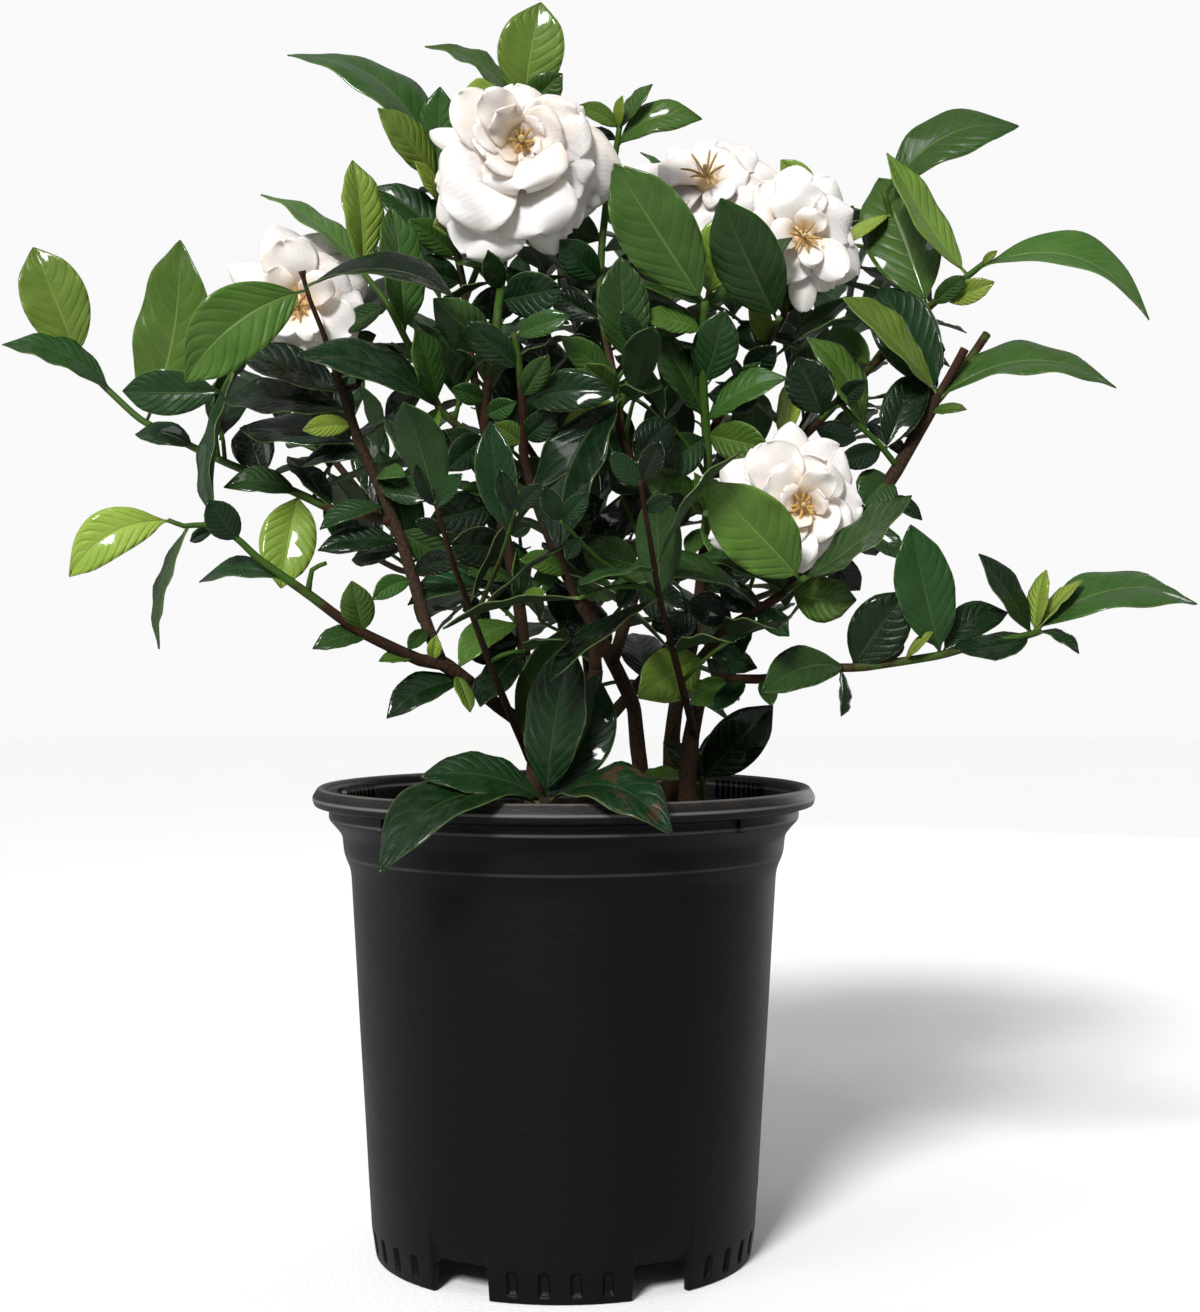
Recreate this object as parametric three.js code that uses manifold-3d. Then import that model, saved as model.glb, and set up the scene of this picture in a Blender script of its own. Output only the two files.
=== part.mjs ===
// A flowering gardenia shrub in the round nursery pot that it is sold in.
// Millimetres, +Z up. The origin lies on the pot's axis, on the ground under its feet.
import * as THREE from 'three';
import { mergeVertices } from 'three/addons/utils/BufferGeometryUtils.js';
import Module from 'manifold-3d';

const wasm = await Module();
wasm.setup();

// Driving sizes of the pot
const POT_HEIGHT = 208;
const RIM_RADIUS = 112.5;
const WALL = 1.6;
const FOOT_RADIUS = 85;
const FOOT_HEIGHT = 14.5;
const FOOT_COUNT = 6;
const FOOT_HALF_ANGLE = 20.5;
const FOOT_GROOVES = [-13.5, -4.5, 4.5, 13.5];
const GROOVE_WIDTH = 4.6;
const GROOVE_DEPTH = 1.8;
const BASE_PLATE_BOTTOM = 15.3;
const BASE_PLATE_TOP = 18;
const DRAIN_RADIUS = 5;
const DRAIN_CIRCLE = 62;
const BAND_RADIUS = 105;
const BAND_BOTTOM = 193.5;
const BAND_TOP = 198;
const BAND_RIBS = 4;
const SHOULDER_RADIUS = 99;
const SHOULDER_HEIGHT = 186.5;
const STEP_RADIUS = 95.1;
const STEP_HEIGHT = 171;
const POT_SIDES = 32;
const SOIL_TOP = 178;
const HOLE_GAP = 0.9;
const HOLE_SIDES = 6;

// Driving sizes of the plant
const GAP = 0.35;
const TRUNK_SIDES = 6;
const TWIG_SIDES = 3;
const LEAF_RATIO = 0.44;
const LEAF_RIB = 1.5;
const LEAF_FOLD = 0.16;
const LEAF_ARCH = 0.05;
const LONG_LEAF = 66;
const FOLDED_LEAF = 52;
const PETIOLE_RADIUS = 0.6;
const PETIOLE_PART = 0.07;
const PETAL_RIB = 1.3;
const ANTHERS = 3;

// Where the plant is looked at from: its places below are columns and rows seen from there,
// with a depth in millimetres behind the pot's axis
const EYE_DISTANCE = 950;
const EYE_HEIGHT = 274;
const EYE_ASIDE = 16.2;
const EYE_FOCAL = 2113;
const EYE_COLUMN = 600;
const EYE_ROW = 637;
const eye = new THREE.Vector3(EYE_ASIDE, -EYE_DISTANCE, EYE_HEIGHT);

function spot(column, row, depth) {
  const scale = (EYE_DISTANCE + depth) / EYE_FOCAL;
  const x = EYE_ASIDE + (column - EYE_COLUMN) * scale;
  return new THREE.Vector3(x, depth, EYE_HEIGHT + (EYE_ROW - row) * scale);
}

// Bare woody stems: node, then its limbs. A limb's points are column, row, depth, radius
const TRUNKS = [
  ['trunk_left', [
    [[533, 885, -12, 4.6], [534, 784, -12, 4.0], [537, 745, -12, 3.8], [530, 700, -12, 3.4],
      [524, 655, -13, 3.1]],
    [[536, 745, -12, 3.4], [518, 721, -18, 3.2], [497, 705, -25, 3.1], [470, 683, -33, 3.0]],
  ]],
  ['trunk_middle', [
    [[646, 885, 12, 4.2], [642, 784, 10, 3.8], [637, 740, 6, 3.5], [633, 706, 0, 3.3],
      [618, 672, -8, 3.2], [600, 636, -12, 3.0], [580, 602, -13, 2.8]],
    [[613, 662, -10, 2.8], [622, 632, -15, 2.8], [632, 602, -14, 2.7]],
  ]],
  ['trunk_right', [
    [[672, 885, 20, 4.8], [672, 796, 18, 4.4], [672, 740, 16, 3.9], [677, 700, 12, 3.4],
      [688, 660, 10, 3.1], [697, 620, 10, 2.9]],
  ]],
  ['trunk_front', [
    [[686, 885, -14, 4.6], [687, 798, -16, 4.2], [691, 740, -18, 3.8], [697, 706, -18, 3.4],
      [700, 680, -19, 3.0]],
  ]],
  ['trunk_back', [
    [[585, 885, 48, 4.6], [586, 790, 50, 4.1], [590, 730, 54, 3.7], [596, 670, 58, 3.3]],
    [[588, 760, 52, 3.2], [560, 715, 62, 2.9], [530, 675, 72, 2.6]],
    [[590, 740, 53, 3.2], [625, 700, 66, 2.9], [655, 665, 78, 2.6]],
  ]],
];

// Leafy stems: node, its twigs, and its leaves. A twig's points are column, row, depth, radius.
// A leaf is base column and row, tip column and row, how far the tip lies behind the base,
// width (less than zero where its underside is seen), tone from 0 dark to 5 young, upward bow
const SPRAYS = [
  ['spray_low_left', [
    [[470, 683, -33, 3.0], [442, 663, -40, 3.3], [420, 660, -44, 2.8], [359, 631, -58, 2.3],
      [308, 594, -66, 2.0], [260, 560, -70, 1.6], [235, 537, -72, 1.4], [204, 525, -74, 1.3],
      [184, 526, -76, 1.1], [168, 520, -77, 1.0]],
    [[308, 594, -66, 1.4], [312, 570, -68, 1.1], [326, 563, -70, 0.9]],
  ], [
    [169, 520, 69, 576, -8, 48, 5, 14], [186, 526, 155, 648, 6, 12, 2, 0],
    [235, 537, 208, 500, -8, 34, 1, 0], [290, 581, 199, 580, 6, 20, 1, 8],
    [364, 632, 352, 582, -14, 34, 3, 0], [371, 636, 313, 648, -10, 22, 2, 6],
    [470, 683, 387, 718, -18, 32, 1, 8],
  ]],
  ['spray_left', [
    [[440, 660, -39, 2.9], [425, 620, -37, 2.8], [412, 575, -34, 2.7], [400, 537, -31, 2.6],
      [385, 500, -28, 2.5], [372, 470, -28, 2.5], [358, 440, -30, 2.4], [347, 405, -34, 2.2],
      [337, 375, -40, 2.0], [324, 335, -50, 1.8], [310, 300, -58, 1.7], [302, 271, -62, 1.6]],
    [[342, 390, -37, 1.5], [358, 384, -16, 1.5], [356, 360, 4, 1.5], [334, 330, 10, 1.5],
      [312, 310, 4, 1.6], [304, 306, -13, 1.7]],
  ], [
    [308, 290, 185, 382, -8, 72, 3, 10], [306, 287, 453, 293, -12, 22, 1, 8],
    [398, 540, 318, 550, -8, 26, 1, 6], [385, 500, 320, 529, -12, 18, 2, 6],
    [354, 425, 303, 430, -10, 22, 4, 0], [366, 458, 300, 466, 12, 20, 0, 6],
    [344, 395, 236, 352, 4, 36, 0, 0], [350, 412, 222, 398, 14, 34, 0, 0],
    [360, 445, 240, 428, 22, 30, 0, 0], [405, 550, 352, 560, 18, 24, 0, 0],
    [372, 470, 430, 500, -14, 30, 1, 0], [398, 532, 452, 562, 12, 34, 1, 0],
    [412, 575, 462, 560, -12, 26, 0, 6],
  ]],
  ['spray_far_left', [
    [[393, 521, -30, 2.5], [337, 511, -8, 2.2], [306, 497, 2, 2.0], [270, 481, 12, 1.9],
      [227, 463, 24, 1.8], [199, 450, 33, 1.8], [179, 440, 38, 1.7], [140, 419, 47, 1.6],
      [107, 389, 53, 1.5], [77, 360, 58, 1.3]],
    [[218, 459, 27, 1.4], [214, 420, 20, 1.3], [226, 384, 12, 1.2], [236, 368, 8, 1.1]],
  ], [
    [76, 359, 33, 247, -4, 62, 4, 0], [146, 422, 179, 240, -16, 68, 4, -8],
    [112, 394, 3, 343, 4, 28, 1, 8], [222, 388, 122, 391, 4, 45, 1, 0],
    [199, 450, 135, 433, 8, 24, 1, 6], [236, 368, 212, 521, -14, 14, 3, 0],
    [270, 481, 244, 424, 16, 42, 1, 0], [304, 497, 281, 588, -14, 56, 4, 0],
    [300, 495, 224, 486, -6, 25, 2, 8], [337, 511, 288, 456, 18, 22, 0, 0],
    [320, 504, 362, 548, 14, 30, 0, 0],
  ]],
  ['spray_mid_left', [
    [[524, 655, -13, 3.1], [520, 610, -14, 2.9], [510, 560, -16, 2.7], [500, 510, -19, 2.6],
      [492, 465, -21, 2.5], [485, 430, -24, 2.4], [486, 395, -28, 2.3], [494, 355, -34, 2.2],
      [498, 310, -32, 2.0], [503, 268, -6, 1.8], [511, 215, 4, 1.8], [519, 182, 2, 1.8],
      [522, 171, -17, 1.7]],
    [[491, 462, -21, 1.9], [462, 430, -30, 1.8], [440, 409, -34, 1.7], [425, 375, -34, 1.6],
      [402, 332, -32, 1.5], [385, 300, -30, 1.4], [366, 276, -28, 1.3], [360, 264, -27, 1.2]],
  ], [
    [517, 590, 408, 605, -14, 26, 1, 10], [515, 580, 466, 574, -18, 20, 2, 6],
    [519, 605, 518, 549, -16, 20, 2, 0], [521, 625, 459, 667, -22, 30, 5, 12],
    [523, 640, 462, 652, -14, 40, 0, 0], [524, 650, 480, 705, -16, 34, 0, 0],
    [440, 410, 299, 352, -10, 35, 1, 6], [438, 405, 415, 328, -10, 33, 3, 0],
    [496, 352, 434, 299, -14, 44, 2, 0], [402, 334, 392, 206, 4, 44, 1, 0],
    [361, 268, 354, 160, -2, 38, 4, 0], [364, 272, 263, 191, 18, 20, 3, 0],
    [496, 300, 563, 288, -16, 46, 2, 0], [490, 455, 446, 431, -16, 22, 1, 0],
    [485, 430, 446, 470, -14, 34, 0, 0], [500, 510, 430, 520, -16, 44, 0, 0],
    [508, 550, 450, 545, -20, 40, 0, 0], [386, 302, 340, 330, 8, 22, 3, 0],
    [425, 377, 385, 418, 14, 26, 0, 0], [460, 428, 425, 478, 8, 34, 0, 0],
    [494, 478, 560, 470, 12, 30, 1, 0],
  ]],
  ['spray_top_left', [
    [[488, 447, -22, 2.1], [478, 400, 0, 2.0], [468, 340, 8, 1.9], [464, 290, 8, 1.8],
      [456, 250, 4, 1.7], [446, 222, 0, 1.6], [438, 190, -2, 1.5], [436, 172, -3, 1.4]],
    [[465, 300, 8, 1.6], [488, 240, 16, 1.5], [508, 180, 18, 1.4], [520, 135, 14, 1.3],
      [525, 104, 12, 1.3]],
  ], [
    [436, 190, 289, 53, 12, 42, 3, 14], [438, 180, 379, 108, 8, 34, 3, 0],
    [437, 174, 440, 87, -10, 38, 1, 0], [456, 256, 409, 220, -18, 28, 2, 0],
    [442, 206, 415, 162, -16, 14, 5, 0], [455, 250, 374, 186, 4, 36, 1, 0],
    [526, 106, 541, 2, -4, 64, 3, 0], [526, 106, 562, 74, -10, 34, 4, 0],
    [523, 118, 426, 45, -2, 18, 3, 8], [524, 112, 466, 88, -14, 12, 5, 0],
    [464, 285, 408, 262, -12, 34, 1, 0], [468, 340, 428, 330, 14, 30, 0, 0],
    [466, 310, 520, 300, 14, 34, 0, 0], [508, 182, 575, 150, 10, 30, 1, 0],
    [486, 245, 400, 208, 24, 34, 1, 0], [474, 380, 448, 350, -10, 26, 1, 0],
  ]],
  ['spray_middle', [
    [[580, 602, -13, 2.8], [570, 582, -14, 2.7], [556, 552, -16, 2.6], [545, 525, -18, 2.5],
      [536, 500, -20, 2.4], [528, 475, -22, 2.3], [523, 450, -26, 2.1], [524, 425, -32, 1.9],
      [522, 400, -38, 1.8], [519, 365, -42, 1.6], [514, 332, -46, 1.4]],
  ], [
    [523, 403, 616, 393, -12, 42, 2, 8], [514, 330, 570, 316, -8, 24, 4, 0],
    [523, 450, 494, 424, -8, 26, 4, 0], [523, 440, 556, 412, -12, 30, 1, 0],
    [522, 398, 548, 356, -16, 26, 3, 0], [520, 370, 466, 322, -8, 34, 1, 0],
    [536, 500, 500, 470, 16, 26, 1, 0], [545, 525, 604, 500, 14, 34, 0, 0],
    [556, 552, 620, 560, 16, 40, 1, 0], [572, 588, 620, 596, -14, 26, 3, 6],
    [570, 582, 520, 560, -12, 22, 3, 6], [556, 552, 534, 596, -16, 22, 2, 0],
    [528, 475, 470, 466, 14, 36, 0, 0],
  ]],
  ['spray_centre', [
    [[632, 602, -14, 2.7], [640, 572, -14, 2.6], [647, 540, -16, 2.5], [650, 510, -20, 2.4],
      [640, 480, -24, 2.3], [628, 455, -28, 2.2], [620, 430, -30, 2.1], [618, 400, -28, 2.0],
      [608, 350, -22, 1.9], [600, 300, -16, 1.8], [602, 245, -6, 1.7], [608, 190, -3, 1.6],
      [616, 150, -4, 1.4], [620, 124, -6, 1.3]],
    [[619, 410, -29, 1.7], [632, 372, -36, 1.5], [640, 345, -40, 1.4]],
  ], [
    [626, 396, 559, 551, -22, 60, 0, 8], [617, 396, 585, 364, -18, 32, 4, 0],
    [614, 380, 562, 338, -14, 30, 3, 0], [618, 404, 562, 428, -16, 28, 4, 0],
    [617, 150, 702, 119, -6, 30, 3, 14], [620, 126, 577, 106, -6, 18, 3, 6],
    [620, 124, 652, 84, -6, 14, 1, 0], [602, 250, 655, 240, -16, 18, 1, 6],
    [601, 280, 560, 240, -12, 36, 1, 0], [601, 290, 572, 262, 12, 34, 0, 0],
    [603, 320, 550, 290, 12, 32, 0, 0], [628, 455, 672, 420, 12, 40, 0, 0],
    [645, 492, 610, 470, 12, 30, 1, 0], [648, 525, 690, 500, 14, 36, 0, 0],
    [640, 572, 582, 548, -14, 44, 2, 0], [636, 586, 688, 612, -12, 44, 1, 0],
    [602, 245, 560, 215, 14, 30, 1, 0],
  ]],
  ['spray_right_centre', [
    [[697, 620, 10, 2.9], [702, 570, 10, 2.6], [706, 530, 8, 2.4], [709, 480, 6, 2.3],
      [706, 431, 2, 2.2], [703, 380, -6, 2.0], [703, 340, -12, 1.9], [705, 301, -18, 1.8]],
    [[704, 545, 9, 1.8], [708, 528, -8, 1.7], [706, 513, -24, 1.6]],
    [[705, 318, -15, 1.5], [712, 272, 14, 1.5], [713, 226, 36, 1.6], [710, 199, 35.4, 1.6],
      [709, 194, 32, 1.6]],
  ], [
    [703, 302, 614, 164, -16, 76, 3, 0], [707, 297, 729, 211, -12, 50, 4, 0],
    [703, 420, 652, 330, -16, 36, 1, 0], [707, 430, 787, 378, -18, 30, 3, 8],
    [708, 432, 770, 448, -20, 40, 4, 0], [704, 385, 724, 310, -14, 46, 1, 0],
    [706, 303, 791, 236, -8, 24, 2, -6], [703, 304, 622, 275, -22, 22, 4, 0],
    [703, 330, 642, 318, -16, 24, 3, 0], [706, 431, 652, 474, -10, 42, 0, 0],
    [706, 514, 583, 546, -14, 40, 1, 10], [706, 513, 641, 470, -14, 38, 2, 0],
    [702, 570, 640, 560, 16, 36, 0, 0], [703, 350, 660, 380, 14, 40, 0, 0],
    [704, 395, 760, 400, 12, 34, 1, 0], [709, 480, 752, 450, 16, 34, 0, 0],
    [700, 590, 748, 560, -8, 34, 0, 0], [699, 605, 652, 628, -14, 46, 1, 0],
    [706, 531, 742, 500, -12, 30, 1, 0],
  ]],
  ['spray_bloom_right', [
    [[707, 440, 4, 2.0], [728, 402, 12, 1.9], [748, 370, 14, 1.8], [770, 340, 14, 1.7],
      [783, 318, 18, 1.7], [790, 284, 26, 1.7], [797, 250, 24, 1.6], [800, 239, 6, 1.6]],
    [[770, 340, 14, 1.6], [774, 331, 0, 1.5], [779, 318, -14, 1.4]],
    [[781, 320, 18, 1.4], [800, 290, 44, 1.4], [814, 240, 54, 1.3], [818, 196, 52, 1.2]],
  ], [
    [778, 321, 721, 199, -34, 68, 1, 0], [786, 318, 833, 286, 8, 16, 0, 6],
    [770, 342, 752, 296, -12, 22, 4, 0], [748, 372, 776, 346, -14, 30, 0, 0],
    [818, 196, 781, 160, -4, 28, 4, 0], [728, 404, 760, 362, -16, 26, 2, 0],
    [814, 230, 850, 262, 16, 28, 1, 0], [760, 355, 745, 320, 10, 30, 1, 0],
  ]],
  ['spray_low_right', [
    [[700, 660, -21, 2.6], [725, 630, -34, 2.4], [752, 614, -48, 2.2], [770, 602, -52, 2.1],
      [786, 591, -46, 2.0], [796, 570, -36, 1.8], [795, 532, -31, 1.7], [791.5, 512, -46, 1.7],
      [791, 511, -53, 1.7]],
    [[786, 591, -46, 1.6], [795, 586, -62, 1.5], [804, 578, -77, 1.4]],
  ], [
    [801, 580, 707, 482, -24, 74, 4, 0], [802, 580, 911, 495, -16, 30, 4, -8],
    [787, 588, 856, 600, -14, 46, 3, -8], [752, 614, 612, 588, -24, 28, 3, 14],
    [784, 590, 682, 562, -8, 22, 3, 10], [702, 656, 638, 698, -24, 54, 4, 0],
    [706, 650, 757, 668, -12, 26, 1, 0], [770, 602, 720, 590, 18, 30, 0, 0],
    [735, 624, 690, 600, 14, 34, 0, 0], [787, 588, 850, 552, 14, 30, 0, 0],
    [703, 654, 740, 700, -18, 24, 1, 0],
  ]],
  ['spray_right_high', [
    [[705, 500, 12, 2.4], [740, 505, 0, 2.5], [790, 545, -20, 2.7], [830, 548, -22, 2.9],
      [872, 505, -12, 3.1], [896, 471, -6, 3.1], [915, 437, 0, 3.1], [930, 410, 2, 3.1],
      [936, 396, 2, 2.6]],
    [[898, 468, -6, 1.5], [880, 445, -12, 1.4], [862, 428, -16, 1.3], [838, 402, -20, 1.2],
      [820, 420, -22, 1.1]],
    [[935, 400, 2, 1.9], [950, 376, 1, 2.0], [965, 349, 0, 2.1]],
    [[936, 402, 3, 1.9], [962, 370, 8, 2.0], [987, 334, 12, 2.1]],
  ], [
    [936, 394, 842, 298, -22, 26, 3, 0], [935, 393, 880, 286, -12, 62, 1, 0],
    [936, 402, 1116, 386, -4, 32, 3, 14], [882, 447, 922, 372, 12, 42, 0, 0],
    [863, 428, 809, 336, -8, 32, 3, 6], [822, 418, 797, 357, -6, 50, 0, 0],
    [893, 474, 862, 506, -12, 46, 2, 0], [872, 505, 922, 520, -10, 16, 0, 6],
    [850, 528, 905, 560, -10, 24, 3, 8], [880, 445, 838, 462, -10, 26, 0, 0],
    [862, 516, 876, 556, 12, 30, 0, 0], [830, 548, 860, 590, 10, 30, 0, 0],
    [915, 438, 884, 400, -14, 36, 1, 0],
  ]],
  ['spray_right_top', [
    [[710, 474, 9, 2.4], [735, 470, 30, 2.3], [790, 448, 42, 2.2], [842, 397, 40, 2.1],
      [870, 368, 34, 2.0], [895, 346, 27, 1.9], [915, 325, 20, 1.8], [930, 306, 13, 1.8],
      [950, 290, 8, 1.6], [973, 272, 4, 1.5], [984, 263, 2, 1.2]],
    [[915, 325, 20, 1.6], [908, 280, 32, 1.5], [896, 235, 34, 1.4], [884, 192, 30, 1.3]],
  ], [
    [929, 307, 879, 178, -14, 76, 3, 0], [885, 195, 1018, 124, -6, 46, 4, 12],
    [973, 272, 890, 151, 0, 28, 4, -8], [976, 270, 1149, 320, -6, 34, 3, 16],
    [940, 298, 994, 282, -12, 24, 4, -8], [890, 215, 847, 242, -12, 12, 5, 0],
    [790, 448, 800, 372, -16, 22, 5, 0], [842, 397, 846, 350, -10, 28, 1, 0],
    [870, 368, 830, 330, 16, 28, 1, 0], [740, 469, 780, 500, 16, 34, 0, 0],
    [812, 426, 856, 440, 12, 26, 0, 0], [905, 262, 940, 225, 14, 28, 1, 0],
    [896, 345, 945, 350, 12, 30, 0, 0],
  ]],
  ['spray_right_low', [
    [[701, 686, -20, 2.4], [721, 679, -30, 2.2], [760, 679, -46, 2.1], [800, 674, -58, 2.0],
      [834, 668, -66, 2.0], [864, 667, -70, 1.9], [936, 656, -72, 1.8], [970, 647, -70, 1.7],
      [1028, 635, -66, 1.6], [1040, 631, -64, 1.5]],
  ], [
    [851, 667, 905, 592, -8, 58, 1, 0], [936, 655, 911, 525, -12, 58, 2, 0],
    [938, 655, 1008, 612, 10, 36, 1, 14], [1036, 632, 953, 648, -16, 26, 1, -12],
    [1031, 634, 979, 554, -8, 26, 1, 0], [1040, 630, 1046, 570, -4, 20, 5, 0],
    [1041, 630, 1083, 579, -4, 13, 5, 0], [1041, 632, 1197, 600, 7, 42, 3, 12],
    [846, 668, 762, 692, -24, 42, 1, 10], [840, 668, 841, 716, -14, 11, 1, 0],
    [722, 679, 690, 704, -12, 28, 1, 0],
  ]],
  ['spray_front', [
    [[545, 895, -76, 1.7], [545, 840, -80, 1.7], [545, 797, -84, 3.0]],
  ], [
    [543, 797, 569, 640, -6, 60, 2, 0], [547, 798, 597, 674, -16, 62, 1, -6],
    [547, 800, 671, 831, -40, 42, 1, 16], [543, 800, 379, 869, -42, 44, 3, 14],
    [543, 798, 421, 776, -16, 42, 1, 6], [544, 802, 428, 792, 10, 18, 3, 4],
    [546, 800, 604, 772, 14, 14, 3, 0],
  ]],
  ['spray_base_right', [
    [[700, 885, 4, 2.0], [702, 800, 2, 1.8], [702, 776, 0, 1.6]],
  ], [
    [703, 780, 772, 706, -14, 52, 0, 0], [702, 782, 664, 742, -12, 22, 1, 0],
    [702, 778, 640, 776, -22, 12, 4, 0], [702, 776, 722, 728, 10, 26, 1, 0],
  ]],
  ['spray_back_left', [
    [[530, 675, 72, 2.6], [490, 630, 88, 2.4], [440, 575, 104, 2.2], [380, 515, 120, 2.0],
      [330, 455, 130, 1.8], [290, 395, 136, 1.6]],
    [[440, 575, 104, 1.8], [400, 570, 130, 1.6], [360, 550, 156, 1.4]],
  ], []],
  ['spray_back_middle', [
    [[596, 670, 58, 3.3], [590, 600, 66, 3.0], [575, 520, 78, 2.7], [560, 430, 92, 2.4],
      [548, 340, 104, 2.0], [540, 260, 112, 1.7], [530, 190, 114, 1.5]],
    [[575, 520, 78, 2.0], [530, 450, 104, 1.8], [480, 370, 128, 1.6], [440, 300, 144, 1.4]],
    [[560, 430, 92, 2.0], [620, 370, 110, 1.8], [670, 300, 122, 1.5], [700, 240, 128, 1.3]],
  ], []],
  ['spray_back_right', [
    [[655, 665, 78, 2.6], [695, 610, 94, 2.4], [740, 540, 112, 2.2], [785, 460, 126, 2.0],
      [825, 380, 134, 1.8], [850, 310, 136, 1.5]],
    [[695, 610, 94, 1.9], [750, 600, 122, 1.7], [800, 580, 148, 1.5], [840, 550, 164, 1.3]],
  ], []],
  ['spray_back_far', [
    [[592, 702, 62, 2.6], [585, 640, 96, 2.4], [575, 570, 126, 2.1], [565, 500, 150, 1.8],
      [556, 440, 166, 1.5]],
    [[580, 600, 113, 1.9], [620, 540, 142, 1.6], [660, 480, 164, 1.4]],
    [[580, 600, 113, 1.8], [530, 560, 140, 1.6], [470, 520, 164, 1.4]],
  ], []],
  ['spray_front_left', [
    [[530, 760, -17, 2.2], [500, 690, -60, 2.0], [474, 620, -94, 1.8], [452, 560, -120, 1.6],
      [436, 505, -136, 1.4]],
    [[474, 620, -94, 1.5], [500, 560, -124, 1.3], [516, 510, -146, 1.2]],
  ], []],
  ['spray_front_right', [
    [[694, 732, -23, 2.2], [678, 670, -56, 2.0], [660, 600, -90, 1.8], [650, 540, -118, 1.6],
      [640, 480, -138, 1.4]],
    [[660, 600, -90, 1.5], [600, 560, -112, 1.3], [560, 520, -128, 1.2]],
  ], []],
];

// Twigs that carry a bloom end at its base: node, base, the place it faces, radius, first petal's turn
const BLOOMS = [
  ['bloom_left', [304, 306, -13], [292, 290, -60], 33, 10],
  ['bloom_main', [522, 171, -17], [525, 152, -66], 42, 25],
  ['bloom_top', [709, 194, 32], [704, 160, 12], 31, 4],
  ['bloom_upper_right', [800, 239, 6], [812, 230, -38], 32, 15],
  ['bloom_lower_right', [791, 511, -53], [798, 504, -104], 35, 5],
];
// Whorls of a bloom in parts of its radius: petals, start along the axis, length, width, how far
// one edge lies over its neighbour, lean from the axis at root and tip, and turn of the first petal
const WHORLS = [
  { count: 5, start: 0.05, length: 0.86, width: 0.84, twist: 0.34, leans: [70, 112], turn: 0 },
  { count: 4, start: 0.14, length: 0.66, width: 0.72, twist: 0.42, leans: [54, 84], turn: 28 },
  { count: 3, start: 0.22, length: 0.46, width: 0.60, twist: 0.55, leans: [34, 52], turn: 10 },
];
// A petal's root lies this part of the radius off the axis; its widths run from root to tip
const PETAL_ROOT = 0.09;
const PETAL_WIDTHS = [0.12, 0.95, 0.74];
const PETAL_CUP = 0.12;

// Outline in the view inside which the leaves that grow by rule stay
const BUSH = [
  [222, 352], [262, 330], [330, 330], [372, 200], [430, 120], [470, 100], [600, 120], [700, 150], [770, 190],
  [850, 230], [900, 190], [940, 260], [985, 300], [935, 400], [900, 470], [900, 545], [850, 600], [790, 620],
  [770, 690], [720, 770], [640, 690], [600, 640], [560, 700], [480, 690], [420, 640], [400, 560], [300, 500],
  [222, 470],
];
// Openings between the stems that stay clear in the view: column, row, radius
const CLEARINGS = [
  [500, 455, 20], [480, 385, 14], [620, 495, 22], [640, 425, 12], [690, 455, 14], [600, 600, 14],
  [655, 540, 10], [460, 640, 14], [340, 440, 12], [600, 640, 16], [480, 530, 12],
];

const up = new THREE.Vector3(0, 0, 1);

function solidOf(points, faces) {
  const vertProperties = new Float32Array(points.flatMap((point) => point.toArray()));
  const fromFaces = (list) => new wasm.Manifold(new wasm.Mesh({
    numProp: 3, vertProperties, triVerts: new Uint32Array(list.flat()),
  }));
  const solid = fromFaces(faces);
  return solid.volume() > 0 ? solid : fromFaces(faces.map(([a, b, c]) => [a, c, b]));
}

function solidOfGeometry(geometry) {
  geometry.deleteAttribute('normal');
  geometry.deleteAttribute('uv');
  const merged = mergeVertices(geometry, 1e-4);
  const place = merged.getAttribute('position');
  const pointAt = (_, i) => new THREE.Vector3().fromBufferAttribute(place, i);
  const points = Array.from({ length: place.count }, pointAt);
  const index = merged.getIndex().array;
  const faces = [];
  for (let i = 0; i < index.length; i += 3) {
    const face = [index[i], index[i + 1], index[i + 2]];
    if (new Set(face).size === 3) {
      faces.push(face);
    }
  }
  return solidOf(points, faces);
}

function union(solids) {
  return solids.slice(1).reduce((sum, solid) => sum.add(solid), solids[0]);
}

// Joins rings of points, all with as many points, into a closed solid. A last ring of one is a tip
function loft(rings) {
  const sides = rings[0].length;
  const faces = [];
  for (let k = 1; k + 1 < sides; k += 1) {
    faces.push([0, k + 1, k]);
  }
  let start = 0;
  for (const ring of rings.slice(1)) {
    const next = start + sides;
    for (let k = 0; k < sides; k += 1) {
      const n = (k + 1) % sides;
      if (ring.length === 1) {
        faces.push([start + k, start + n, next]);
      } else {
        faces.push([start + k, start + n, next + n], [start + k, next + n, next + k]);
      }
    }
    start = next;
  }
  for (let k = 1; k + 1 < rings.at(-1).length; k += 1) {
    faces.push([start, start + k, start + k + 1]);
  }
  return solidOf(rings.flat(), faces);
}

// The direction that u takes when it turns towards v
function turned(u, v, turn) {
  return u.clone().multiplyScalar(Math.cos(turn)).addScaledVector(v, Math.sin(turn));
}

// A ring of points round a center, across the tangent, from the side where u looks
function ringAcross(center, tangent, u, radius, sides) {
  const v = new THREE.Vector3().crossVectors(tangent, u);
  return Array.from({ length: sides }, (_, k) => {
    const out = turned(u, v, (k / sides) * 2 * Math.PI);
    return center.clone().addScaledVector(out, radius);
  });
}

// Points beside a center: so far across and so far up
function offsets(center, side, face) {
  return (across, rise) => center.clone().addScaledVector(side, across).addScaledVector(face, rise);
}

function tangentAt(path, i) {
  const before = path[Math.max(i - 1, 0)];
  const after = path[Math.min(i + 1, path.length - 1)];
  return after.clone().sub(before).normalize();
}

function sidewaysOf(direction) {
  const lead = Math.abs(direction.z) > 0.8 ? new THREE.Vector3(1, 0, 0) : up;
  return new THREE.Vector3().crossVectors(lead, direction).normalize();
}

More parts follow.
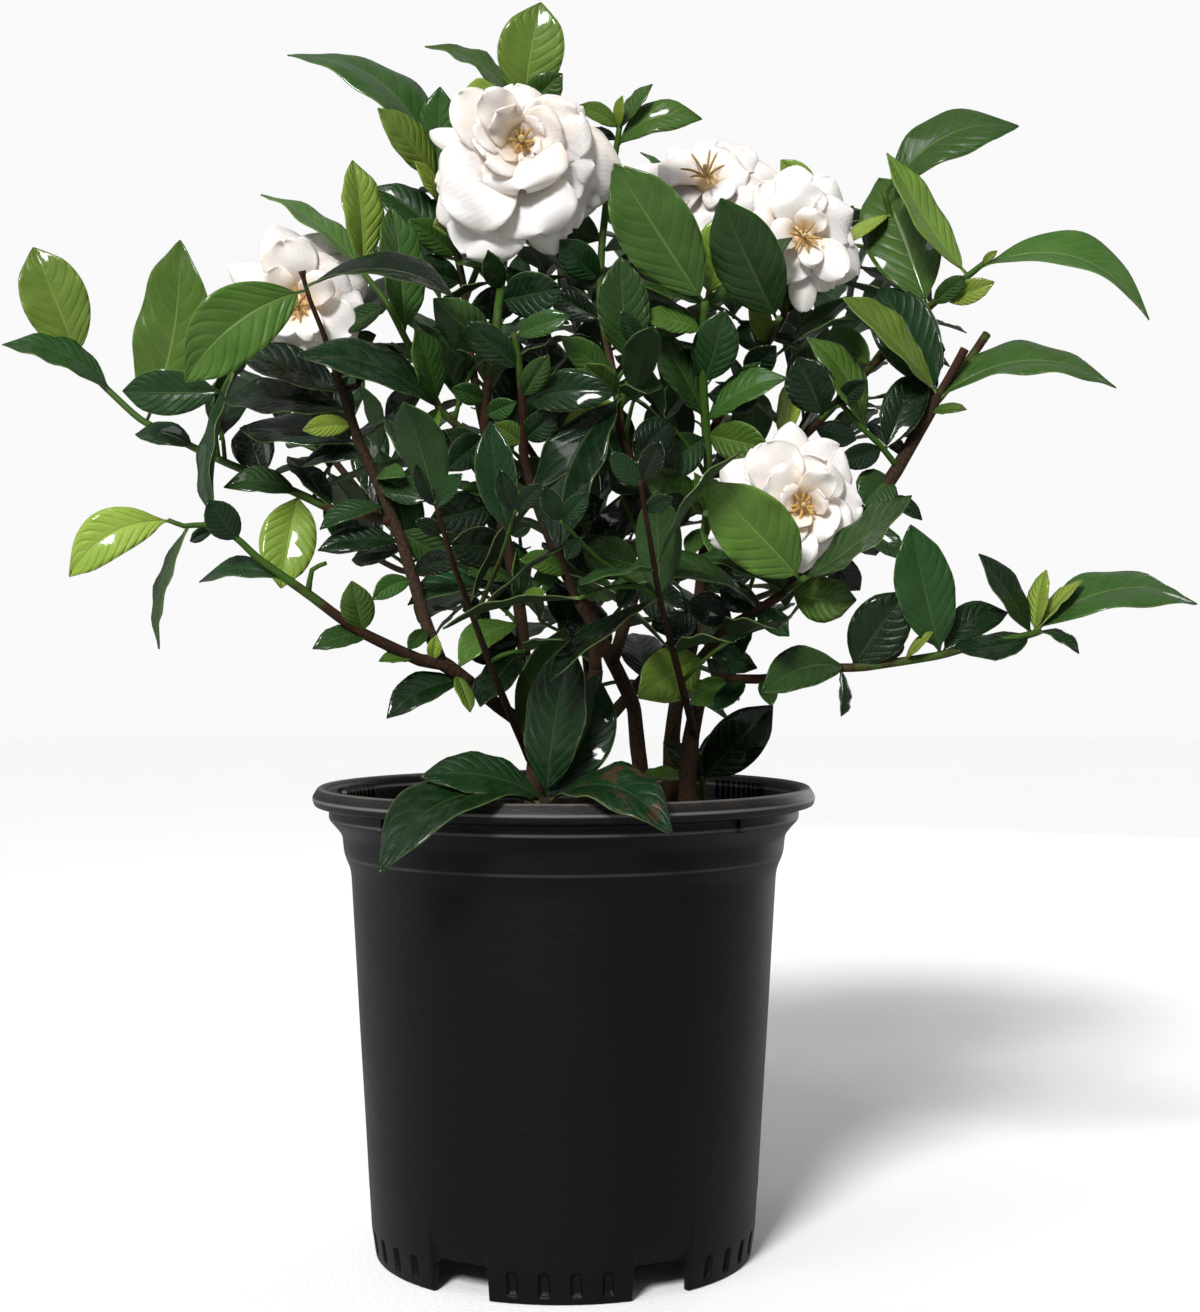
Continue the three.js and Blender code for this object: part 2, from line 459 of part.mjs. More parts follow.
// A tapered stem through its points, drawn in by trim at its root and thicker by extra all round
function stemSolid(rows, { trim = 0, extra = 0, sides = TWIG_SIDES } = {}) {
  const path = rows.map(([column, row, depth]) => spot(column, row, depth));
  path[0].addScaledVector(tangentAt(path, 0), trim);
  let u = sidewaysOf(tangentAt(path, 0));
  return loft(path.map((center, i) => {
    const tangent = tangentAt(path, i);
    u = u.clone().addScaledVector(tangent, -u.dot(tangent)).normalize();
    return ringAcross(center, tangent, u, rows[i][3] + extra, sides);
  }));
}

// Pot: a turned shell with a rolled lip, ribs in the band under it, and a foot ring cut into feet
function potShell() {
  const footTop = FOOT_RADIUS + 1;
  const footInside = FOOT_RADIUS - 4;
  const outer = [
    [FOOT_RADIUS - 1, 0], [footTop, 13], [91.2, 102], [STEP_RADIUS, STEP_HEIGHT], [98.2, 178],
    [SHOULDER_RADIUS, SHOULDER_HEIGHT], [BAND_RADIUS, BAND_BOTTOM], [BAND_RADIUS, BAND_TOP],
    [RIM_RADIUS - 1.1, BAND_TOP + 1.6], [RIM_RADIUS, POT_HEIGHT - 5], [RIM_RADIUS - 3, POT_HEIGHT],
  ];
  const inner = [
    [RIM_RADIUS - 7, POT_HEIGHT - WALL], [BAND_RADIUS - WALL, BAND_BOTTOM + 1],
    [SHOULDER_RADIUS - WALL, SHOULDER_HEIGHT + 0.5], [STEP_RADIUS - WALL, STEP_HEIGHT + 0.4],
    [footTop - WALL, BASE_PLATE_TOP], [0, BASE_PLATE_TOP], [0, BASE_PLATE_BOTTOM],
    [footInside, BASE_PLATE_BOTTOM], [footInside, 0],
  ];
  const profile = [...outer, ...inner, outer[0]].map(([x, y]) => new THREE.Vector2(x, y));
  return solidOfGeometry(new THREE.LatheGeometry(profile, POT_SIDES).rotateX(Math.PI / 2));
}

function bandRib(turn) {
  const rib = new THREE.BoxGeometry(2.4, 3.2, 6);
  rib.translate(BAND_RADIUS + 0.4, 0, BAND_TOP - 2).rotateZ(turn);
  return solidOfGeometry(rib);
}

// The opening between two feet: a wedge that points at the axis
function footNotch(middle, halfAngle) {
  const reach = FOOT_RADIUS + 12;
  const wedge = new THREE.Shape();
  wedge.moveTo(0, 0);
  for (const turn of [middle - halfAngle, middle + halfAngle]) {
    wedge.lineTo(reach * Math.cos(turn), reach * Math.sin(turn));
  }
  const notch = new THREE.ExtrudeGeometry(wedge, { depth: FOOT_HEIGHT + 1, bevelEnabled: false });
  return solidOfGeometry(notch.translate(0, 0, -1));
}

function footGroove(turn) {
  const groove = new THREE.BoxGeometry(2 * GROOVE_DEPTH, GROOVE_WIDTH, FOOT_HEIGHT - 4);
  groove.translate(FOOT_RADIUS + 1.2, 0, 0.6 * FOOT_HEIGHT).rotateZ(turn);
  return solidOfGeometry(groove);
}

function drainHole(turn) {
  const drain = new THREE.CylinderGeometry(DRAIN_RADIUS, DRAIN_RADIUS, 12, 6);
  drain.rotateX(Math.PI / 2).translate(DRAIN_CIRCLE, 0, BASE_PLATE_BOTTOM).rotateZ(turn);
  return solidOfGeometry(drain);
}

function potSolid() {
  const step = (2 * Math.PI) / FOOT_COUNT;
  const notchHalf = step / 2 - THREE.MathUtils.degToRad(FOOT_HALF_ANGLE);
  const ribs = Array.from({ length: BAND_RIBS }, (_, k) => bandRib(((k + 0.5) / BAND_RIBS) * 2 * Math.PI));
  const cuts = [];
  for (let k = 0; k < FOOT_COUNT; k += 1) {
    const foot = -Math.PI / 2 + k * step;
    cuts.push(footNotch(foot + step / 2, notchHalf), drainHole(foot + step / 2));
    for (const angle of FOOT_GROOVES) {
      cuts.push(footGroove(foot + THREE.MathUtils.degToRad(angle)));
    }
  }
  return cuts.reduce((pot, cut) => pot.subtract(cut), union([potShell(), ...ribs]));
}

// Soil: fills the pot to a finger's breadth under the lip, with a plain hole for each stem
function soilSolid(stemsInSoil) {
  const bottom = BASE_PLATE_TOP + GAP;
  const profile = [
    [0, bottom], [FOOT_RADIUS + 1 - WALL - GAP, bottom], [STEP_RADIUS - WALL - 0.3 - GAP, STEP_HEIGHT],
    [STEP_RADIUS - WALL + 0.3, SOIL_TOP - 3], [55, SOIL_TOP + 1.5], [0, SOIL_TOP + 1],
  ];
  const points = profile.map(([x, y]) => new THREE.Vector2(x, y));
  const filling = new THREE.LatheGeometry(points, POT_SIDES).rotateX(Math.PI / 2);
  return stemsInSoil.reduce((soil, rows) => {
    const [column, row, depth, radius] = rows[0];
    const hole = [[column, row + 1.5, depth, radius], ...rows.slice(1)];
    return soil.subtract(stemSolid(hole, { extra: HOLE_GAP, sides: HOLE_SIDES }));
  }, solidOfGeometry(filling));
}

// The seat of a leaf is the point of its twigs that lies nearest to its base in the view,
// a few pixels in from a twig's end, and no two neighbours quite as far
const SEAT_INSETS = [3, 4.6, 6.2, 7.8];
// How far short of a stem's face a leaf's root begins
const ROOT_SUNK = 1.0;

function seatOf(twigs, column, row, inset) {
  let best = { off: Infinity };
  for (const rows of twigs) {
    for (let i = 0; i + 1 < rows.length; i += 1) {
      const [x0, y0, z0, r0] = rows[i];
      const [x1, y1, z1, r1] = rows[i + 1];
      const run = Math.hypot(x1 - x0, y1 - y0);
      const along = ((column - x0) * (x1 - x0) + (row - y0) * (y1 - y0)) / run;
      const t = Math.min(Math.max(along, inset), run - inset) / run;
      const x = x0 + t * (x1 - x0);
      const y = y0 + t * (y1 - y0);
      const depth = z0 + t * (z1 - z0);
      const off = Math.hypot(x - column, y - row);
      if (off < best.off) {
        best = { off, depth, point: spot(x, y, depth), radius: r0 + t * (r1 - r0) };
      }
    }
  }
  return best;
}

// A leaf's pose: base, tip, upper side and sideways bow, worked out from how it shows in the view
function leafPose(seat, tip, width, bow) {
  const along = tip.clone().sub(seat.point).normalize();
  const base = seat.point.clone().addScaledVector(along, Math.max(0.5 * seat.radius - ROOT_SUNK, 0));
  const length = tip.distanceTo(base);
  const toEye = eye.clone().sub(base.clone().lerp(tip, 0.5));
  const millimetres = toEye.length() / EYE_FOCAL;
  toEye.normalize();
  const facing = toEye.clone().addScaledVector(along, -toEye.dot(along)).normalize();
  const upright = new THREE.Vector3().crossVectors(along, facing);
  if (upright.z < 0) {
    upright.negate();
  }
  const shown = Math.abs(width) * millimetres;
  const broad = Math.max(shown, LEAF_RATIO * length);
  const turn = Math.acos(Math.min(shown / broad, 1));
  const normal = facing.clone().multiplyScalar(Math.sign(width) * Math.cos(turn));
  normal.addScaledVector(upright, Math.sin(turn)).normalize();
  return { base, tip, along, length, normal, upright, broad, bow: (bow / 100) * length, plain: false };
}

function leafCenter(pose, t) {
  const rise = 4 * t * (1 - t);
  const center = pose.base.clone().addScaledVector(pose.along, pose.length * t);
  center.addScaledVector(pose.normal, LEAF_ARCH * pose.length * rise);
  return center.addScaledVector(pose.upright, pose.bow * rise);
}

function leafHalfWidth(pose, t) {
  const s = Math.max((t - PETIOLE_PART) / (1 - PETIOLE_PART), 0);
  return Math.max(PETIOLE_RADIUS, 0.5 * pose.broad * (4 * s * (1 - s)) ** 0.7);
}

// A long leaf is folded up along its midrib; a short one is a flat blade with a keel under it
function leafSolid(pose) {
  const folded = pose.length > FOLDED_LEAF && !pose.plain;
  const stations = pose.length > LONG_LEAF && !pose.plain ? [0, 0.22, 0.52, 0.81] : [0, 0.27, 0.66];
  const side = new THREE.Vector3().crossVectors(pose.along, pose.normal);
  const rib = LEAF_RIB / 2;
  const rings = stations.map((t) => {
    const center = leafCenter(pose, t);
    const half = leafHalfWidth(pose, t);
    const lift = t === 0 ? 0 : LEAF_FOLD * half;
    const at = offsets(center, side, pose.normal);
    return folded
      ? [at(-half, lift), at(0, rib), at(half, lift), at(0, -rib)]
      : [at(-half, rib / 2), at(half, rib / 2), at(0, -rib)];
  });
  return loft([...rings, [pose.tip.clone()]]);
}

// Even random numbers from 0 to 1, the same in every run
function randomFrom(seed) {
  let state = seed;
  return () => {
    state = (state * 16807) % 2147483647;
    return state / 2147483647;
  };
}

function viewOf(point) {
  const scale = (EYE_DISTANCE + point.y) / EYE_FOCAL;
  return [EYE_COLUMN + (point.x - EYE_ASIDE) / scale, EYE_ROW + (EYE_HEIGHT - point.z) / scale];
}

function insideBush(column, row) {
  let inside = false;
  BUSH.forEach(([x0, y0], i) => {
    const [x1, y1] = BUSH[(i + 1) % BUSH.length];
    if ((y0 > row) !== (y1 > row) && column < x0 + ((row - y0) / (y1 - y0)) * (x1 - x0)) {
      inside = !inside;
    }
  });
  return inside && CLEARINGS.every(([x, y, radius]) => Math.hypot(column - x, row - y) > radius);
}

// Leaves by rule: millimetres between pairs, turn from pair to pair, lengths, lean and widths
const PAIR_STEP = 54;
const PAIR_TURN = 1.35;
const PAIR_STAGGER = 0.4;
const RULE_LENGTHS = [42, 72];
const RULE_LEANS = [0.825, 1.175];
const RULE_RATIOS = [0.36, 0.46];
const END_LEAF = { length: 48, broad: 20, sunk: 1.5 };
const RULE_REACH = 168;
const LOWEST_TIP = POT_HEIGHT + 12;
const FIRST_SEED = 100;

// Pairs of leaves up each twig, each pair turned from the last, and one at its end
function ruleLeaves(twigs, seed) {
  const random = randomFrom(seed);
  const between = ([low, high]) => low + (high - low) * random();
  const leaves = [];
  for (const rows of twigs) {
    const path = rows.map(([column, row, depth]) => spot(column, row, depth));
    let turn = random() * Math.PI;
    let walked = 0;
    for (let i = 0; i + 1 < path.length; i += 1) {
      const run = path[i].distanceTo(path[i + 1]);
      const tangent = path[i + 1].clone().sub(path[i]).normalize();
      const u = new THREE.Vector3().crossVectors(up, tangent).normalize();
      const v = new THREE.Vector3().crossVectors(tangent, u);
      for (; walked < run; walked += PAIR_STEP) {
        turn += PAIR_TURN;
        for (const half of [0, Math.PI]) {
          const base = path[i].clone().addScaledVector(tangent, walked + PAIR_STAGGER * half);
          const length = between(RULE_LENGTHS);
          const lean = between(RULE_LEANS);
          const along = turned(tangent, turned(u, v, turn + half), lean);
          const tip = base.clone().addScaledVector(along, length);
          leaves.push({ base, tip, broad: between(RULE_RATIOS) * length });
        }
      }
      walked -= run;
    }
    const tangent = tangentAt(path, path.length - 1);
    const base = path.at(-1).clone().addScaledVector(tangent, -END_LEAF.sunk);
    const tip = path.at(-1).clone().addScaledVector(tangent, END_LEAF.length);
    leaves.push({ base, tip, broad: END_LEAF.broad });
  }
  return leaves.filter(({ tip }) => {
    const shows = insideBush(...viewOf(tip));
    return shows && Math.abs(tip.y) < RULE_REACH && tip.z > LOWEST_TIP;
  });
}

// The upper side of a leaf by rule looks at the sky
function rulePose({ base, tip, broad }) {
  const along = tip.clone().sub(base);
  const length = along.length();
  along.normalize();
  const lead = Math.abs(along.z) < 0.98 ? up : new THREE.Vector3(0, -1, 0);
  const normal = lead.clone().addScaledVector(along, -lead.dot(along)).normalize();
  return { base, tip, along, length, normal, upright: normal, broad, bow: 0, plain: true };
}

// A petal is a thin cupped blade that leans from the bloom's axis, one edge over its neighbour
function petalSolid(frame, radius, whorl, turn) {
  const out = turned(frame.u, frame.v, turn);
  const side = new THREE.Vector3().crossVectors(frame.axis, out);
  const steps = PETAL_WIDTHS.length - 1;
  const center = frame.base.clone().addScaledVector(frame.axis, whorl.start * radius);
  center.addScaledVector(out, PETAL_ROOT * radius);
  const rings = PETAL_WIDTHS.map((part, i) => {
    const lean = THREE.MathUtils.degToRad(THREE.MathUtils.lerp(...whorl.leans, i / steps));
    if (i > 0) {
      center.addScaledVector(turned(frame.axis, out, lean), (whorl.length * radius) / steps);
    }
    const face = turned(frame.axis, out, lean - Math.PI / 2);
    const half = 0.5 * whorl.width * radius * part;
    const at = offsets(center, side, face);
    return [
      at(-half, half * (PETAL_CUP - whorl.twist)), at(0, PETAL_RIB / 2),
      at(half, half * (PETAL_CUP + whorl.twist)), at(0, -PETAL_RIB / 2),
    ];
  });
  return loft(rings);
}

function bloomFrame(base, target, trim) {
  const start = spot(...base);
  const axis = spot(...target).sub(start).normalize();
  const u = new THREE.Vector3().crossVectors(up, axis).normalize();
  const v = new THREE.Vector3().crossVectors(axis, u);
  return { base: start.addScaledVector(axis, trim), axis, u, v };
}

function ringInBloom(frame, radius, height, wide, sides) {
  const center = frame.base.clone().addScaledVector(frame.axis, height * radius);
  return ringAcross(center, frame.axis, frame.u, wide * radius, sides);
}

const CORE_TOP = 0.3;

function bloomSolid(frame, radius, firstTurn) {
  const core = [[0, 0.05], [0.1, 0.15], [CORE_TOP, 0.12]];
  const parts = [loft(core.map(([height, wide]) => ringInBloom(frame, radius, height, wide, 6)))];
  for (const whorl of WHORLS) {
    for (let k = 0; k < whorl.count; k += 1) {
      const turn = THREE.MathUtils.degToRad(firstTurn + whorl.turn + (k / whorl.count) * 360);
      parts.push(petalSolid(frame, radius, whorl, turn));
    }
  }
  return union(parts);
}

// Stamens: a short club with anthers leaning out, standing on the bloom's core
function stamenSolid(frame, radius) {
  const foot = CORE_TOP + GAP / radius;
  const club = [[foot, 0.06], [foot + 0.34, 0.05]];
  const parts = [loft(club.map(([height, wide]) => ringInBloom(frame, radius, height, wide, 4)))];
  const root = frame.base.clone().addScaledVector(frame.axis, (foot + 0.05) * radius);
  for (let k = 0; k < ANTHERS; k += 1) {
    const out = turned(frame.u, frame.v, (k / ANTHERS) * 2 * Math.PI);
    const lean = frame.axis.clone().addScaledVector(out, 0.55).normalize();
    const tip = root.clone().addScaledVector(lean, 0.28 * radius);
    parts.push(loft([ringAcross(root, lean, sidewaysOf(lean), 0.03 * radius, 3), [tip]]));
  }
  return union(parts);
}

const placed = new Map();
const boxes = new Map();

function keep(name, solid) {
  placed.set(name, solid);
  boxes.set(name, solid.boundingBox());
}

function near(a, b, margin) {
  return [0, 1, 2].every((k) => a.min[k] - margin < b.max[k] && b.min[k] - margin < a.max[k]);
}

function isClear(solid, own) {
  const box = solid.boundingBox();
  return [...placed].every(([name, other]) => (
    name === own || !near(box, boxes.get(name), GAP) || solid.minGap(other, GAP) > GAP - 0.03
  ));
}

// Draws a root or a bloom in, step by step, until it is clear of the pieces that are already placed
const TRIM_STEP = 0.25;
const TRIM_LIMIT = 14;

function trimmed(name, build) {
  let trim = GAP;
  while (!isClear(build(trim), name) && trim < TRIM_LIMIT) {
    trim += TRIM_STEP;
  }
  return trim;
}

// A leaf that would cross another piece bends along the line of sight until it is clear
const DEPTH_STEPS = [0, -5, 5, -10, 10, -15, 15, -21, 21, -28, 28, -36, 36, -45, 45];
const OWN_CROSSING = 1.5;

function placeLeaf(name, poseAt, leaves) {
  let spare = null;
  for (const step of DEPTH_STEPS) {
    const solid = leafSolid(poseAt(step));
    if (isClear(solid, name)) {
      const box = solid.boundingBox();
      const crossing = leaves.some((leaf) => (
        near(leaf.boundingBox(), box, 0) && leaf.intersect(solid).volume() > OWN_CROSSING
      ));
      if (!crossing) {
        return solid;
      }
      spare = spare ?? solid;
    }
  }
  return spare;
}

function handPoses(twigs, leaves) {
  return leaves.map(([column, row, tipColumn, tipRow, behind, width, , bow], k) => {
    const seat = seatOf(twigs, column, row, SEAT_INSETS[k % SEAT_INSETS.length]);
    return (step) => leafPose(seat, spot(tipColumn, tipRow, seat.depth + behind + step), width, bow);
  });
}

function rulePoses(twigs, seed) {
  return ruleLeaves(twigs, seed).map((leaf) => (step) => {
    const tip = spot(...viewOf(leaf.tip), leaf.tip.y + step);
    return rulePose({ ...leaf, tip });
  });
}

function sprayStems(twigs, trim) {
  return union([stemSolid(twigs[0], { trim }), ...twigs.slice(1).map((rows) => stemSolid(rows))]);
}

// A stem stands in the soil where its first point lies low in the pot
const standsInSoil = ([root]) => root[1] > 880;

const stemsInSoil = [...TRUNKS, ...SPRAYS].map(([, twigs]) => twigs[0]).filter(standsInSoil);
keep('pot', potSolid());
keep('soil', soilSolid(stemsInSoil));
for (const [name, limbs] of TRUNKS) {
  keep(name, union(limbs.map((rows) => stemSolid(rows, { sides: TRUNK_SIDES }))));
}
for (const [name, twigs] of SPRAYS) {
  const trim = standsInSoil(twigs[0]) ? 0 : trimmed(name, (drawn) => sprayStems(twigs, drawn));
  keep(name, sprayStems(twigs, trim));
}
for (const [name, base, target, radius, firstTurn] of BLOOMS) {
  const build = (trim) => bloomSolid(bloomFrame(base, target, trim), radius, firstTurn);
  const trim = trimmed(name, build);
  keep(name, build(trim));
  keep(`${name}_stamens`, stamenSolid(bloomFrame(base, target, trim), radius));
}
SPRAYS.forEach(([name, twigs, list], order) => {
  const poses = list.length > 0 ? handPoses(twigs, list) : rulePoses(twigs, FIRST_SEED + order);
  const leaves = [];
  for (const poseAt of poses) {
    const leaf = placeLeaf(name, poseAt, leaves);
    if (leaf) {
      leaves.push(leaf);
      keep(name, placed.get(name).add(leaf));
    }
  }
});

const FINISHES = {
  pot: { color: 0x1b1c1e, roughness: 0.55 },
  soil: { color: 0x3a2c22, roughness: 0.95 },
  trunk: { color: 0x5a4030, roughness: 0.85 },
  spray: { color: 0x3f6b33, roughness: 0.45 },
  bloom: { color: 0xf3eee6, roughness: 0.6 },
  stamens: { color: 0xb98a3a, roughness: 0.6 },
};

function meshOf(name, solid) {
  const { vertProperties, triVerts } = solid.getMesh();
  const geometry = new THREE.BufferGeometry();
  geometry.setAttribute('position', new THREE.BufferAttribute(vertProperties, 3));
  geometry.setIndex(new THREE.BufferAttribute(triVerts, 1));
  const kind = name.endsWith('stamens') ? 'stamens' : name.split('_')[0];
  const mesh = new THREE.Mesh(geometry, new THREE.MeshStandardMaterial({ ...FINISHES[kind], metalness: 0 }));
  mesh.name = name;
  return mesh;
}

const gardenia = new THREE.Group();
for (const [name, solid] of placed) {
  gardenia.add(meshOf(name, solid));
}

export default gardenia;
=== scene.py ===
"""A flowering gardenia shrub in the round nursery pot that it is sold in: its surfaces and finishes.

Every piece is made in millimetres, in the model's own frame, and turned into metres as its mesh is made.
"""

import math
from collections import namedtuple
from itertools import pairwise

import bpy
import numpy as np
from bpy.props import FloatProperty, FloatVectorProperty, IntProperty, PointerProperty
from bpy.types import Operator, Panel, PropertyGroup
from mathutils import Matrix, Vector
from mathutils.bvhtree import BVHTree
from mathutils.noise import noise as noise_at


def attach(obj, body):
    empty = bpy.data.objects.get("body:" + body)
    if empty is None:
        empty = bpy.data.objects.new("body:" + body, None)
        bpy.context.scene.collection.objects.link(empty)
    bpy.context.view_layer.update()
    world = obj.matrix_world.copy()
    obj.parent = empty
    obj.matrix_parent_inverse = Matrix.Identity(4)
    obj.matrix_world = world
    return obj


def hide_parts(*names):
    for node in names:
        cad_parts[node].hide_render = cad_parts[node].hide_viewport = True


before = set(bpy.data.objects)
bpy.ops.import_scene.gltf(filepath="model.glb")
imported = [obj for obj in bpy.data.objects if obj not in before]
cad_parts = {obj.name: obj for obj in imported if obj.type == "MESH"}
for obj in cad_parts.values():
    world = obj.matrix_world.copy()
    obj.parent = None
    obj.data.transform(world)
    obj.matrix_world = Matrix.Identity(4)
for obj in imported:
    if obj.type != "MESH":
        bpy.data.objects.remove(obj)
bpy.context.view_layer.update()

bl_info = {
    "name": "Potted gardenia",
    "version": (1, 0, 0),
    "blender": (4, 5, 0),
    "location": "View3D > Sidebar > Gardenia",
    "description": "Dresses the potted gardenia with its leaves, blooms, bark, soil and moulded pot",
    "category": "Add Mesh",
}

MM = 0.001

# Where the plant is looked at from. The places below are columns and rows seen from there,
# with a depth in millimetres behind the pot's axis
EYE = np.array([16.2, -950.0, 274.0])
EYE_FOCAL = 2113.0
EYE_COLUMN = 600.0
EYE_ROW = 637.0
PICTURE_SIZE = (1200, 1312)

# The pot's driving sizes, as its solid has them
POT_HEIGHT = 208.0
FOOT_COUNT = 6
SOIL_TOP = 178.0
BASE_PLATE_TOP = 18.0

# Bare woody stems: the limbs of each node. A limb's points are column, row, depth and radius
TRUNKS = {
    "trunk_left": [
        [(533, 885, -12, 4.6), (534, 784, -12, 4.0), (537, 745, -12, 3.8), (530, 700, -12, 3.4),
         (524, 655, -13, 3.1)],
        [(536, 745, -12, 3.4), (518, 721, -18, 3.2), (497, 705, -25, 3.1), (470, 683, -33, 3.0)],
    ],
    "trunk_middle": [
        [(646, 885, 12, 4.2), (642, 784, 10, 3.8), (637, 740, 6, 3.5), (633, 706, 0, 3.3),
         (618, 672, -8, 3.2), (600, 636, -12, 3.0), (580, 602, -13, 2.8)],
        [(613, 662, -10, 2.8), (622, 632, -15, 2.8), (632, 602, -14, 2.7)],
    ],
    "trunk_right": [
        [(672, 885, 20, 4.8), (672, 796, 18, 4.4), (672, 740, 16, 3.9), (677, 700, 12, 3.4),
         (688, 660, 10, 3.1), (697, 620, 10, 2.9)],
    ],
    "trunk_front": [
        [(686, 885, -14, 4.6), (687, 798, -16, 4.2), (691, 740, -18, 3.8), (697, 706, -18, 3.4),
         (700, 680, -19, 3.0)],
    ],
    "trunk_back": [
        [(585, 885, 48, 4.6), (586, 790, 50, 4.1), (590, 730, 54, 3.7), (596, 670, 58, 3.3)],
        [(588, 760, 52, 3.2), (560, 715, 62, 2.9), (530, 675, 72, 2.6)],
        [(590, 740, 53, 3.2), (625, 700, 66, 2.9), (655, 665, 78, 2.6)],
    ],
}
